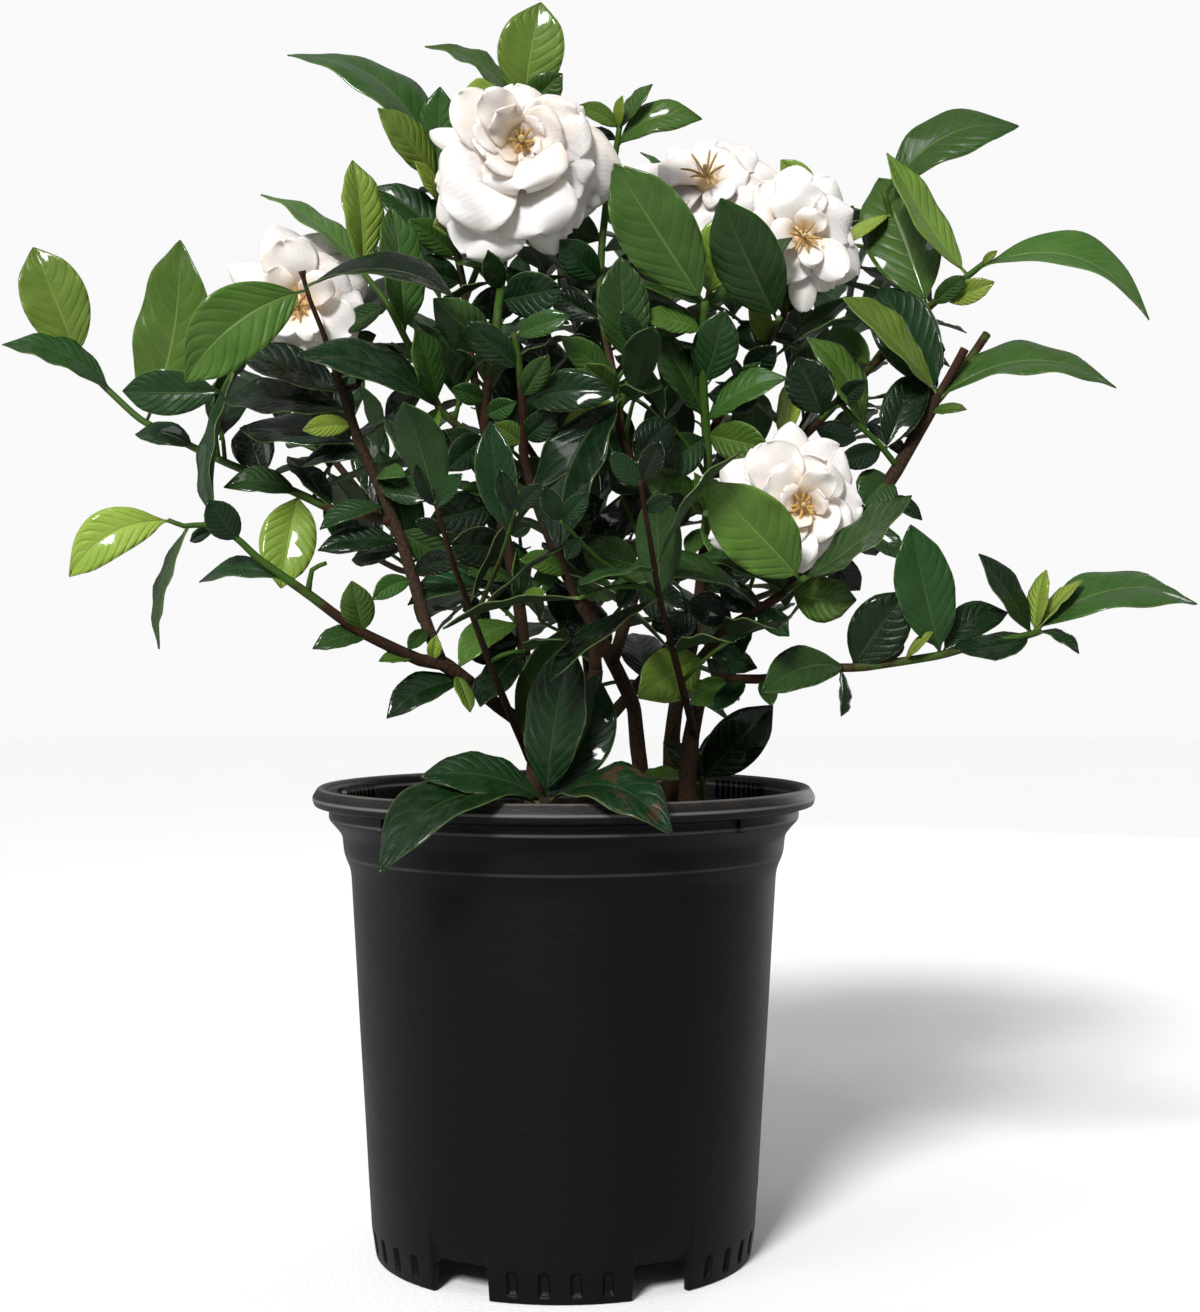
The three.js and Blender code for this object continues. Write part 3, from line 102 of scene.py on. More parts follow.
# Leafy stems: the twigs of each node, with points as above
TWIGS = {
    "spray_low_left": [
        [(470, 683, -33, 3.0), (442, 663, -40, 3.3), (420, 660, -44, 2.8), (359, 631, -58, 2.3),
         (308, 594, -66, 2.0), (260, 560, -70, 1.6), (235, 537, -72, 1.4), (204, 525, -74, 1.3),
         (184, 526, -76, 1.1), (168, 520, -77, 1.0)],
        [(308, 594, -66, 1.4), (312, 570, -68, 1.1), (326, 563, -70, 0.9)],
    ],
    "spray_left": [
        [(440, 660, -39, 2.9), (425, 620, -37, 2.8), (412, 575, -34, 2.7), (400, 537, -31, 2.6),
         (385, 500, -28, 2.5), (372, 470, -28, 2.5), (358, 440, -30, 2.4), (347, 405, -34, 2.2),
         (337, 375, -40, 1.7), (324, 335, -50, 1.2), (310, 300, -58, 1.0), (304, 280, -61, 1.0),
         (302, 271, -62, 1.7)],
        [(342, 390, -37, 1.5), (358, 384, -16, 1.5), (356, 360, 4, 1.5), (334, 330, 10, 1.5),
         (312, 310, 4, 1.6), (304, 306, -13, 1.7)],
    ],
    "spray_far_left": [
        [(393, 521, -30, 2.5), (337, 511, -8, 2.2), (306, 497, 2, 2.0), (270, 481, 12, 1.9),
         (227, 463, 24, 1.8), (199, 450, 33, 1.8), (179, 440, 38, 1.7), (140, 419, 47, 1.6),
         (107, 389, 53, 1.5), (77, 360, 58, 1.3)],
        [(218, 459, 27, 1.4), (214, 420, 20, 1.3), (226, 384, 12, 1.2), (236, 368, 8, 1.1)],
    ],
    "spray_mid_left": [
        [(524, 655, -13, 3.1), (520, 610, -14, 2.9), (510, 560, -16, 2.7), (500, 510, -19, 2.6),
         (492, 465, -21, 2.5), (485, 430, -24, 2.4), (486, 395, -28, 2.3), (494, 355, -34, 2.2),
         (498, 310, -32, 2.0), (503, 268, -6, 1.8), (511, 215, 4, 1.8), (519, 182, 2, 1.8),
         (522, 171, -17, 1.7)],
        [(491, 462, -21, 1.9), (462, 430, -30, 1.8), (440, 409, -34, 1.7), (425, 375, -34, 1.6),
         (402, 332, -32, 1.5), (385, 300, -30, 1.4), (366, 276, -28, 1.3), (360, 264, -27, 1.2)],
    ],
    "spray_top_left": [
        [(488, 447, -22, 2.1), (478, 400, 0, 2.0), (468, 340, 8, 1.9), (464, 290, 8, 1.8),
         (456, 250, 4, 1.7), (446, 222, 0, 1.6), (438, 190, -2, 1.5), (436, 172, -3, 1.4)],
        [(465, 300, 8, 1.6), (488, 240, 16, 1.5), (508, 180, 18, 1.4), (520, 135, 14, 1.3),
         (525, 104, 12, 1.3)],
    ],
    "spray_middle": [
        [(580, 602, -13, 2.8), (570, 582, -14, 2.7), (556, 552, -16, 2.6), (545, 525, -18, 2.5),
         (536, 500, -20, 2.4), (528, 475, -22, 2.3), (523, 450, -26, 2.1), (524, 425, -32, 1.9),
         (522, 400, -38, 1.8), (519, 365, -42, 1.6), (514, 332, -46, 1.4)],
    ],
    "spray_centre": [
        [(632, 602, -14, 2.7), (640, 572, -14, 2.6), (647, 540, -16, 2.5), (650, 510, -20, 2.4),
         (640, 480, -24, 2.3), (628, 455, -28, 2.2), (620, 430, -30, 2.1), (618, 400, -28, 2.0),
         (608, 350, -22, 1.9), (600, 300, -16, 1.8), (602, 245, -6, 1.7), (608, 190, -3, 1.6),
         (616, 150, -4, 1.4), (620, 124, -6, 1.3)],
        [(619, 410, -29, 1.7), (632, 372, -36, 1.5), (640, 345, -40, 1.4)],
    ],
    "spray_right_centre": [
        [(697, 620, 10, 2.9), (702, 570, 10, 2.6), (706, 530, 8, 2.4), (709, 480, 6, 2.3),
         (706, 431, 2, 2.2), (703, 380, -6, 2.0), (703, 340, -12, 1.9), (705, 301, -18, 1.8)],
        [(704, 545, 9, 1.8), (708, 528, -8, 1.7), (706, 513, -24, 1.6)],
        [(705, 318, -15, 1.5), (712, 272, 14, 1.5), (713, 226, 36, 1.6), (710, 199, 35.4, 1.6),
         (709, 194, 32, 1.6)],
    ],
    "spray_bloom_right": [
        [(707, 440, 4, 2.0), (728, 402, 12, 1.9), (748, 370, 14, 1.8), (770, 340, 14, 1.7),
         (783, 318, 18, 1.7), (790, 284, 26, 1.7), (797, 250, 24, 1.6), (800, 239, 6, 1.6)],
        [(770, 340, 14, 1.6), (774, 331, 0, 1.5), (779, 318, -14, 1.4)],
        [(781, 320, 18, 1.4), (800, 290, 44, 1.4), (814, 240, 54, 1.3), (818, 196, 52, 1.2)],
    ],
    "spray_low_right": [
        [(700, 660, -21, 2.6), (725, 630, -34, 2.4), (752, 614, -48, 2.2), (770, 602, -52, 2.1),
         (786, 591, -46, 2.0), (796, 570, -36, 1.8), (795, 532, -31, 1.7), (791.5, 512, -46, 1.7),
         (791, 511, -53, 1.7)],
        [(786, 591, -46, 1.6), (795, 586, -62, 1.5), (804, 578, -77, 1.4)],
    ],
    "spray_right_high": [
        [(705, 500, 12, 2.4), (740, 505, 0, 2.5), (790, 545, -20, 2.7), (830, 548, -22, 2.9),
         (872, 505, -12, 3.1), (896, 471, -6, 3.1), (915, 437, 0, 3.1), (930, 410, 2, 3.1),
         (936, 396, 2, 2.6)],
        [(898, 468, -6, 1.5), (880, 445, -12, 1.4), (862, 428, -16, 1.3), (838, 402, -20, 1.2),
         (820, 420, -22, 1.1)],
        [(935, 400, 2, 1.9), (950, 376, 1, 2.0), (965, 349, 0, 2.1)],
        [(936, 402, 3, 1.9), (962, 370, 8, 2.0), (987, 334, 12, 2.1)],
    ],
    "spray_right_top": [
        [(710, 474, 9, 2.4), (735, 470, 30, 2.3), (790, 448, 42, 2.2), (842, 397, 40, 2.1),
         (870, 368, 34, 2.0), (895, 346, 27, 1.9), (915, 325, 20, 1.8), (930, 306, 13, 1.8),
         (950, 290, 8, 1.6), (973, 272, 4, 1.5), (984, 263, 2, 1.2)],
        [(915, 325, 20, 1.6), (908, 280, 32, 1.5), (896, 235, 34, 1.4), (884, 192, 30, 1.3)],
    ],
    "spray_right_low": [
        [(701, 686, -20, 2.4), (721, 679, -30, 2.2), (760, 679, -46, 2.1), (800, 674, -58, 2.0),
         (834, 668, -66, 2.0), (864, 667, -70, 1.9), (936, 656, -72, 1.8), (970, 647, -70, 1.7),
         (1028, 635, -66, 1.6), (1040, 631, -64, 1.5)],
    ],
    "spray_front": [
        [(545, 895, -76, 1.7), (545, 840, -80, 1.7), (545, 797, -84, 3.0)],
    ],
    "spray_base_right": [
        [(700, 885, 4, 2.0), (702, 800, 2, 1.8), (702, 776, 0, 1.6)],
    ],
    "spray_back_left": [
        [(530, 675, 72, 2.6), (490, 630, 88, 2.4), (440, 575, 104, 2.2), (380, 515, 120, 2.0),
         (330, 455, 130, 1.8), (290, 395, 136, 1.6)],
        [(440, 575, 104, 1.8), (400, 570, 130, 1.6), (360, 550, 156, 1.4)],
    ],
    "spray_back_middle": [
        [(596, 670, 58, 3.3), (590, 600, 66, 3.0), (575, 520, 78, 2.7), (560, 430, 92, 2.4),
         (548, 340, 104, 2.0), (540, 260, 112, 1.7), (530, 190, 114, 1.5)],
        [(575, 520, 78, 2.0), (530, 450, 104, 1.8), (480, 370, 128, 1.6), (440, 300, 144, 1.4)],
        [(560, 430, 92, 2.0), (620, 370, 110, 1.8), (670, 300, 122, 1.5), (700, 240, 128, 1.3)],
    ],
    "spray_back_right": [
        [(655, 665, 78, 2.6), (695, 610, 94, 2.4), (740, 540, 112, 2.2), (785, 460, 126, 2.0),
         (825, 380, 134, 1.8), (850, 310, 136, 1.5)],
        [(695, 610, 94, 1.9), (750, 600, 122, 1.7), (800, 580, 148, 1.5), (840, 550, 164, 1.3)],
    ],
    "spray_back_far": [
        [(592, 702, 62, 2.6), (585, 640, 96, 2.4), (575, 570, 126, 2.1), (565, 500, 150, 1.8),
         (556, 440, 166, 1.5)],
        [(580, 600, 113, 1.9), (620, 540, 142, 1.6), (660, 480, 164, 1.4)],
        [(580, 600, 113, 1.8), (530, 560, 140, 1.6), (470, 520, 164, 1.4)],
    ],
    "spray_front_left": [
        [(530, 760, -17, 1.9), (500, 690, -60, 1.6), (474, 620, -94, 1.3), (452, 560, -120, 1.1),
         (436, 505, -136, 0.9)],
        [(474, 620, -94, 1.1), (500, 560, -124, 0.9), (516, 510, -146, 0.8)],
    ],
    "spray_front_right": [
        [(694, 732, -23, 1.9), (678, 670, -56, 1.6), (660, 600, -90, 1.3), (650, 540, -118, 1.1),
         (640, 480, -138, 0.9)],
        [(660, 600, -90, 1.1), (600, 560, -112, 0.9), (560, 520, -128, 0.8)],
    ],
}
# Leaves of each node: base column and row, tip column and row, how far the tip lies behind the base,
# width (less than zero where the underside is seen), tone from 0 dark to 5 young, upward bow in hundredths.
# The tone stands for a leaf's age and also for painted shade and light: low tones darken the leaves that lie
# in shade inside the bush, and high ones lighten the leaves that catch the light
LEAVES = {
    "spray_low_left": [
        (169, 520, 69, 576, -8, 48, 5, 14), (186, 526, 155, 648, 6, 12, 2, 0),
        (235, 537, 208, 500, -8, 34, 1, 0), (290, 581, 199, 580, 6, 20, 1, 8),
        (364, 632, 352, 582, -14, 34, 3, 0), (371, 636, 313, 648, -10, 22, 2, 6),
        (470, 683, 387, 718, -18, 32, 1, 8),
    ],
    "spray_left": [
        (308, 290, 185, 382, -8, 72, 3.4, 10), (306, 287, 453, 293, -12, 22, 0, 8),
        (398, 540, 318, 550, -8, 26, 0, 6), (385, 500, 320, 529, -12, 18, 1, 6),
        (354, 425, 303, 430, -10, 22, 5, 0), (366, 458, 300, 466, 12, 20, 0, 6),
        (344, 395, 236, 352, 4, 36, -1, 0), (350, 412, 222, 398, 14, 34, -1, 0),
        (360, 445, 240, 428, 22, 30, 1, 0), (405, 550, 352, 560, 18, 24, 0, 0),
        (372, 470, 430, 500, -14, 30, 1, 0), (398, 532, 452, 562, 12, 34, 2, 0),
        (412, 575, 462, 560, -12, 26, -1, 6),
    ],
    "spray_far_left": [
        (76, 359, 33, 247, -4, 62, 4, 0), (146, 422, 179, 240, -16, 68, 4, -8),
        (112, 394, 3, 343, 4, 28, 2, 8), (222, 388, 122, 391, 4, 45, 1, 0),
        (199, 450, 135, 433, 8, 24, 1, 6), (236, 368, 212, 521, -14, 14, 1, 0),
        (270, 481, 244, 424, 16, 42, 0, 0), (304, 497, 281, 588, -14, 56, 4, 0),
        (300, 495, 224, 486, -6, 25, 2, 8), (337, 511, 288, 456, 18, 22, 1, 0),
        (320, 504, 362, 548, 14, 30, 1, 0),
    ],
    "spray_mid_left": [
        (517, 590, 408, 605, -14, 26, 1, 10), (515, 580, 466, 574, -18, 20, 2, 6),
        (519, 605, 518, 549, -16, 20, 2, 0), (521, 625, 459, 667, -22, 30, 3, 12),
        (523, 640, 462, 652, -14, 40, -1, 0), (524, 650, 480, 705, -16, 34, -1, 0),
        (440, 410, 299, 352, -10, 35, 1, 6), (438, 405, 415, 328, -10, 33, 3, 0),
        (496, 352, 434, 299, -14, 44, 2, 0), (402, 334, 392, 206, 4, 44, 2, 0),
        (361, 268, 354, 160, -2, 38, 4, 0), (364, 272, 263, 191, 18, 20, 3, 0),
        (496, 300, 563, 288, -16, 46, 1, 0), (490, 455, 446, 431, -16, 22, 1, 0),
        (485, 430, 446, 470, -14, 34, 0, 0), (500, 510, 430, 520, -16, 44, -1, 0),
        (508, 550, 450, 545, -20, 40, 0, 0), (386, 302, 340, 330, 8, 22, 2, 0),
        (425, 377, 385, 418, 14, 26, -1, 0), (460, 428, 425, 478, 8, 34, -1, 0),
        (494, 478, 560, 470, 12, 30, 1, 0),
    ],
    "spray_top_left": [
        (436, 190, 289, 53, 12, 42, 2, 14), (438, 180, 379, 108, 8, 34, 4, 0),
        (437, 174, 440, 87, -10, 38, 2, 0), (456, 256, 409, 220, -18, 28, 3, 0),
        (442, 206, 415, 162, -16, 14, 5, 0), (455, 250, 374, 186, 4, 36, 1, 0),
        (526, 106, 541, 2, -4, 64, 4, 0), (526, 106, 562, 74, -10, 34, 3, 0),
        (523, 118, 426, 45, -2, 18, 3, 8), (524, 112, 466, 88, -14, 12, 5, 0),
        (464, 285, 408, 262, -12, 34, 1, 0), (468, 340, 428, 330, 14, 30, 0, 0),
        (466, 310, 520, 300, 14, 34, 0, 0), (508, 182, 575, 150, 10, 30, 1, 0),
        (486, 245, 400, 208, 24, 34, 1, 0), (474, 380, 448, 350, -10, 26, 1, 0),
    ],
    "spray_middle": [
        (523, 403, 616, 393, -12, 42, 1, 8), (514, 330, 570, 316, -8, 24, 2, 0),
        (523, 450, 494, 424, -8, 26, 4, 0), (523, 440, 556, 412, -12, 30, 1, 0),
        (522, 398, 548, 356, -16, 26, 2, 0), (520, 370, 466, 322, -8, 34, 1, 0),
        (536, 500, 500, 470, 16, 26, 0, 0), (545, 525, 604, 500, 14, 34, -1, 0),
        (556, 552, 620, 560, 16, 40, 1, 0), (572, 588, 620, 596, -14, 26, 2, 6),
        (570, 582, 520, 560, -12, 22, 3, 6), (556, 552, 534, 596, -16, 22, 2, 0),
        (528, 475, 470, 466, 14, 36, -1, 0),
    ],
    "spray_centre": [
        (626, 396, 559, 551, -22, 60, -1, 8), (617, 396, 585, 364, -18, 32, 4, 0),
        (614, 380, 562, 338, -14, 30, 3, 0), (618, 404, 562, 428, -16, 28, 5, 0),
        (617, 150, 702, 119, -6, 30, 3, 14), (620, 126, 577, 106, -6, 18, 4, 6),
        (620, 124, 652, 84, -6, 14, 3, 0), (602, 250, 655, 240, -16, 18, 0, 6),
        (601, 280, 560, 240, -12, 36, 1, 0), (601, 290, 572, 262, 12, 34, 1, 0),
        (603, 320, 550, 290, 12, 32, 0, 0), (628, 455, 672, 420, 12, 40, -1, 0),
        (645, 492, 610, 470, 12, 30, 1, 0), (648, 525, 690, 500, 14, 36, -1, 0),
        (640, 572, 582, 548, -14, 44, 2, 0), (636, 586, 688, 612, -12, 44, -1, 0),
        (602, 245, 560, 215, 14, 30, 2, 0),
    ],
    "spray_right_centre": [
        (703, 302, 614, 164, -16, 76, 3, 0), (707, 297, 729, 211, -12, 50, 5, 0),
        (703, 420, 652, 330, -16, 36, 2, 0), (707, 430, 787, 378, -18, 30, 3, 8),
        (708, 432, 770, 448, -20, 40, 3, 0), (704, 385, 724, 310, -14, 46, 1, 0),
        (706, 303, 791, 236, -8, 24, 2, -6), (703, 304, 622, 275, -22, 22, 2, 0),
        (703, 330, 642, 318, -16, 24, 3, 0), (706, 431, 652, 474, -10, 42, 1, 0),
        (706, 514, 583, 546, -14, 40, 0, 10), (706, 513, 641, 470, -14, 38, 3, 0),
        (702, 570, 640, 560, 16, 36, -1, 0), (703, 350, 660, 380, 14, 40, 1, 0),
        (704, 395, 760, 400, 12, 34, 0, 0), (709, 480, 752, 450, 16, 34, 0, 0),
        (700, 590, 748, 560, -8, 34, -1, 0), (699, 605, 652, 628, -14, 46, 0, 0),
        (706, 531, 742, 500, -12, 30, 1, 0),
    ],
    "spray_bloom_right": [
        (778, 321, 721, 199, -34, 68, 2, 0), (786, 318, 833, 286, 8, 16, 0, 6),
        (770, 342, 752, 296, -12, 22, 4, 0), (748, 372, 776, 346, -14, 30, 0, 0),
        (818, 196, 781, 160, -4, 28, 4, 0), (728, 404, 760, 362, -16, 26, 2, 0),
        (814, 230, 850, 262, 16, 28, 1, 0), (760, 355, 745, 320, 10, 30, 2, 0),
    ],
    "spray_low_right": [
        (801, 580, 707, 482, -24, 74, 4, 0), (802, 580, 911, 495, -16, 30, 2, -8),
        (787, 588, 856, 600, -14, 46, 3, -8), (752, 614, 612, 588, -24, 28, 2, 14),
        (784, 590, 682, 562, -8, 22, 2, 10), (702, 656, 638, 698, -24, 54, 4, 0),
        (706, 650, 757, 668, -12, 26, 1, 0), (770, 602, 720, 590, 18, 30, -1, 0),
        (735, 624, 690, 600, 14, 34, 0, 0), (787, 588, 850, 552, 14, 30, -1, 0),
        (703, 654, 740, 700, -18, 24, 1, 0),
    ],
    "spray_right_high": [
        (936, 394, 842, 298, -22, 26, 4, 0), (935, 393, 880, 286, -12, 62, 1, 0),
        (936, 402, 1116, 386, -4, 32, 3, 14), (882, 447, 922, 372, 12, 42, 0, 0),
        (863, 428, 809, 336, -8, 32, 3, 6), (822, 418, 797, 357, -6, 50, 0, 0),
        (893, 474, 862, 506, -12, 46, 2, 0), (872, 505, 922, 520, -10, 16, -1, 6),
        (850, 528, 905, 560, -10, 24, 1, 8), (880, 445, 838, 462, -10, 26, 0, 0),
        (862, 516, 876, 556, 12, 30, -1, 0), (830, 548, 860, 590, 10, 30, 0, 0),
        (915, 438, 884, 400, -14, 36, 0, 0),
    ],
    "spray_right_top": [
        (929, 307, 879, 178, -14, 76, 3, 0), (885, 195, 1018, 124, -6, 46, 2, 12),
        (973, 272, 890, 151, 0, 28, 4, -8), (976, 270, 1149, 320, -6, 34, 3, 16),
        (940, 298, 994, 282, -12, 24, 5, -8), (890, 215, 847, 242, -12, 12, 5, 0),
        (790, 448, 800, 372, -16, 22, 5, 0), (842, 397, 846, 350, -10, 28, 1, 0),
        (870, 368, 830, 330, 16, 28, 3, 0), (740, 469, 780, 500, 16, 34, 0, 0),
        (812, 426, 856, 440, 12, 26, 0, 0), (905, 262, 940, 225, 14, 28, 1, 0),
        (896, 345, 945, 350, 12, 30, 0, 0),
    ],
    "spray_right_low": [
        (851, 667, 905, 592, -8, 58, 0, 0), (936, 655, 911, 525, -12, 58, 2, 0),
        (938, 655, 1008, 612, 10, 36, 1, 14), (1036, 632, 953, 648, -16, 26, 1, -12),
        (1031, 634, 979, 554, -8, 26, 1, 0), (1040, 630, 1046, 570, -4, 20, 5, 0),
        (1041, 630, 1083, 579, -4, 13, 5, 0), (1041, 632, 1197, 600, 7, 42, 2, 12),
        (846, 668, 762, 692, -24, 42, 2, 10), (840, 668, 841, 716, -14, 11, 1, 0),
        (722, 679, 690, 704, -12, 28, 3, 0),
    ],
    "spray_front": [
        (543, 797, 569, 640, -6, 60, 0.3, 0), (547, 798, 597, 674, -16, 62, 0.3, -6),
        (547, 800, 671, 831, -40, 42, 1, 16), (543, 800, 379, 869, -42, 44, 1.2, 14),
        (543, 798, 421, 776, -16, 42, 1, 6), (544, 802, 428, 792, 10, 18, 3, 4),
        (546, 800, 604, 772, 14, 14, 3, 0),
    ],
    "spray_base_right": [
        (703, 780, 772, 706, -14, 52, 0, 0), (702, 782, 664, 742, -12, 22, 1, 0),
        (702, 778, 640, 776, -22, 12, 4, 0), (702, 776, 722, 728, 10, 26, 1, 0),
    ],
}
# Leaves that are ageing in brown spots: their node and place in its list
SPOTTED = {("spray_right_centre", 10), ("spray_right_centre", 11), ("spray_front", 2)}
# Sprays whose stems are greener, less than zero, or woodier than others of their thickness
STEM_AGES = {
    "spray_right_centre": -1.2, "spray_centre": -0.4, "spray_left": 2.0, "spray_front_left": 1.6,
    "spray_front_right": 1.6, "spray_back_left": 1.0, "spray_back_middle": 1.0, "spray_back_right": 1.0,
}
# Small young leaves that stand between the others
SMALL_LEAVES = {
    "spray_low_left": [
        (215, 529, 190, 541, 6, 13, 1, 0), (415, 661, 379, 661, -10, 12, 3, 0),
        (432, 662, 436, 636, -8, 15, 5, 0), (455, 673, 470, 712, -12, 16, 4, 0),
    ],
    "spray_left": [
        (413, 580, 372, 600, -12, 22, 2, 8), (376, 478, 405, 476, -16, 14, 3, 6),
        (343, 345, 376, 335, 8, 16, 3, 0), (428, 628, 408, 650, -12, 16, 2, 0),
    ],
    "spray_mid_left": [
        (499, 505, 461, 488, -10, 14, 3, 8), (499, 505, 530, 494, -8, 10, 3, 8),
        (520, 600, 545, 592, -12, 14, 4, 0), (440, 409, 424, 444, -10, 18, 4, 0),
        (497, 290, 488, 250, -18, 24, 2, 0), (486, 400, 452, 388, -14, 22, 2, 0),
        (487, 415, 516, 402, -14, 22, 2, 0),
    ],
    "spray_top_left": [
        (450, 236, 434, 226, -26, 14, 5, 0), (458, 262, 480, 266, -22, 14, 3, 0),
    ],
    "spray_centre": [
        (619, 128, 622, 96, -10, 10, 5, 0), (617, 140, 586, 130, 6, 12, 0, 0),
        (606, 220, 640, 210, -14, 20, 3, 0), (634, 366, 655, 326, -10, 24, 1, 0),
        (640, 348, 622, 310, -8, 22, 1, 0), (600, 300, 640, 300, -14, 24, 0, 0),
    ],
    "spray_right_centre": [
        (707, 513, 695, 473, -12, 14, 4, 0), (708, 528, 690, 556, -18, 20, 3, 0),
        (706, 520, 716, 560, -22, 22, 3, 0),
    ],
    "spray_bloom_right": [
        (774, 334, 800, 350, -12, 12, 1, 0),
    ],
    "spray_low_right": [
        (796, 574, 806, 543, -22, 12, 5, 0), (753, 614, 789, 636, -12, 24, 1, 8),
        (752, 614, 742, 656, -14, 16, 1, 0),
    ],
    "spray_right_high": [
        (930, 410, 966, 409, -14, 10, 3, 0), (838, 402, 866, 380, -12, 22, 1, 0),
    ],
    "spray_right_top": [
        (984, 263, 997, 251, -2, 8, 5, 0), (932, 304, 966, 276, -14, 20, 2, 0),
    ],
    "spray_front_left": [
        (437, 509, 416, 462, -8, 24, 0, 0), (436, 507, 462, 474, -10, 20, 1, 6),
        (444, 533, 416, 520, -6, 18, 0, 0), (515, 514, 500, 470, -6, 22, 0, 0),
        (516, 512, 542, 484, -8, 20, 1, 0), (509, 534, 532, 524, -6, 16, 0, 0),
    ],
    "spray_front_right": [
        (640, 484, 660, 440, -6, 24, 0, 0), (641, 487, 612, 452, -8, 24, 1, 0),
        (645, 512, 672, 496, -6, 18, 0, 0), (562, 522, 544, 486, -6, 22, 0, 0),
        (561, 521, 588, 492, -8, 22, 1, 0), (578, 537, 566, 560, -8, 16, 0, 0),
        (632, 582, 618, 606, -8, 20, 1, 0),
    ],
    "spray_right_low": [
        (1038, 634, 1079, 653, -12, 11, 1, 8), (905, 660, 933, 632, -10, 9, 5, 0),
        (760, 679, 772, 706, -14, 18, 2, 0), (745, 679, 716, 712, -16, 20, 1, 0),
        (868, 666, 903, 640, 14, 24, 0, 0),
    ],
}
# Blooms: base, the place it faces, radius
BLOOMS = {
    "bloom_left": ((304, 306, -13), (292, 290, -60), 33),
    "bloom_main": ((522, 171, -17), (525, 152, -66), 42),
    "bloom_top": ((709, 194, 32), (704, 160, 12), 31),
    "bloom_upper_right": ((800, 239, 6), (812, 230, -38), 32),
    "bloom_lower_right": ((791, 511, -53), (798, 504, -104), 35),
}
# Petals set one by one: turn in degrees from the right, upwards; reach and width in parts of the bloom's
# radius; whorl
PETALS = {
    "bloom_main": [
        (6, 1.04, 0.84, 0), (48, 0.90, 0.78, 0), (86, 0.80, 0.70, 0), (132, 0.92, 0.50, 0),
        (157, 1.02, 0.30, 0), (188, 0.92, 0.60, 0), (212, 1.00, 0.70, 0), (238, 1.10, 0.92, 0),
        (288, 0.94, 0.44, 0), (308, 0.84, 0.64, 0), (336, 0.86, 0.74, 0), (2, 0.74, 0.66, 1),
        (46, 0.82, 0.78, 1), (97, 0.84, 0.68, 1), (134, 0.98, 0.58, 1), (206, 0.92, 1.00, 1),
        (284, 0.76, 0.92, 1), (328, 0.70, 0.70, 1), (274, 0.54, 0.96, 2), (128, 0.58, 0.44, 2),
        (165, 0.50, 0.46, 2), (60, 0.42, 0.54, 2), (12, 0.44, 0.62, 2), (214, 0.44, 0.60, 2),
        (140, 0.36, 0.44, 3), (192, 0.30, 0.40, 3), (250, 0.22, 0.36, 3), (40, 0.26, 0.34, 3),
        (320, 0.20, 0.30, 3),
    ],
    "bloom_left": [
        (157, 1.10, 0.44, 0), (115, 1.10, 0.64, 0), (70, 0.98, 0.84, 0), (36, 0.96, 0.74, 0),
        (357, 0.82, 0.74, 0), (320, 0.84, 0.64, 0), (270, 0.84, 0.46, 0), (228, 0.86, 0.72, 0),
        (188, 0.80, 0.60, 0),
    ],
    "bloom_top": [
        (8, 1.02, 0.80, 0), (48, 0.96, 0.78, 0), (92, 0.86, 0.76, 0), (128, 1.00, 0.60, 0),
        (164, 1.14, 0.56, 0), (208, 0.88, 0.66, 0), (256, 0.84, 0.74, 0), (304, 0.88, 0.74, 0),
        (338, 0.92, 0.70, 0),
    ],
    "bloom_upper_right": [
        (96, 1.00, 0.74, 0), (60, 0.92, 0.70, 0), (26, 0.80, 0.66, 0), (356, 0.74, 0.64, 0),
        (326, 0.94, 0.66, 0), (298, 0.84, 0.50, 0), (268, 1.04, 0.40, 0), (228, 0.84, 0.66, 0),
        (186, 0.80, 0.70, 0), (128, 0.94, 0.64, 0),
    ],
    "bloom_lower_right": [
        (92, 1.04, 0.46, 0), (54, 0.94, 0.76, 0), (6, 0.84, 0.80, 0), (146, 1.00, 0.64, 0),
        (120, 0.88, 0.54, 0), (198, 1.06, 0.54, 0), (236, 0.80, 0.56, 0), (280, 0.74, 0.70, 0),
        (322, 0.78, 0.70, 0),
    ],
}
# Inner petals of the other blooms: count, reach, width and whorl
INNER_PETALS = {
    "bloom_left": ((5, 0.76, 0.76, 1), (4, 0.50, 0.50, 2)),
    "bloom_top": ((5, 0.66, 0.66, 1),),
    "bloom_upper_right": ((5, 0.72, 0.70, 1), (3, 0.44, 0.44, 2)),
    "bloom_lower_right": ((5, 0.78, 0.72, 1), (4, 0.54, 0.50, 2), (3, 0.30, 0.34, 3)),
}
# A bloom's whorls, from the outermost: start along the axis in parts of the radius, leans from the axis at
# root and tip in degrees, how deep a petal is cupped at its root, and how far it domes at its tip
WHORLS = [(0.04, 62, 112, 0.16, 0.34), (0.12, 46, 94, 0.22, 0.26), (0.20, 26, 64, 0.32, 0.12),
          (0.24, 18, 46, 0.42, -0.06)]
# How far a bloom's throat stands off its axis, in parts of its radius
THROATS = {"bloom_main": (-0.02, 0.24), "bloom_left": (-0.04, -0.04), "bloom_lower_right": (0.12, 0.04)}

# Outline in the view inside which the leaves that grow by rule stay
BUSH = [
    (222, 352), (262, 330), (330, 330), (372, 200), (430, 120), (470, 100), (600, 120), (700, 150),
    (770, 190), (850, 230), (900, 190), (940, 260), (985, 300), (935, 400), (900, 470), (900, 545),
    (850, 600), (790, 620), (770, 690), (720, 770), (640, 690), (600, 640), (560, 700), (480, 690),
    (420, 640), (400, 560), (300, 500), (222, 470),
]
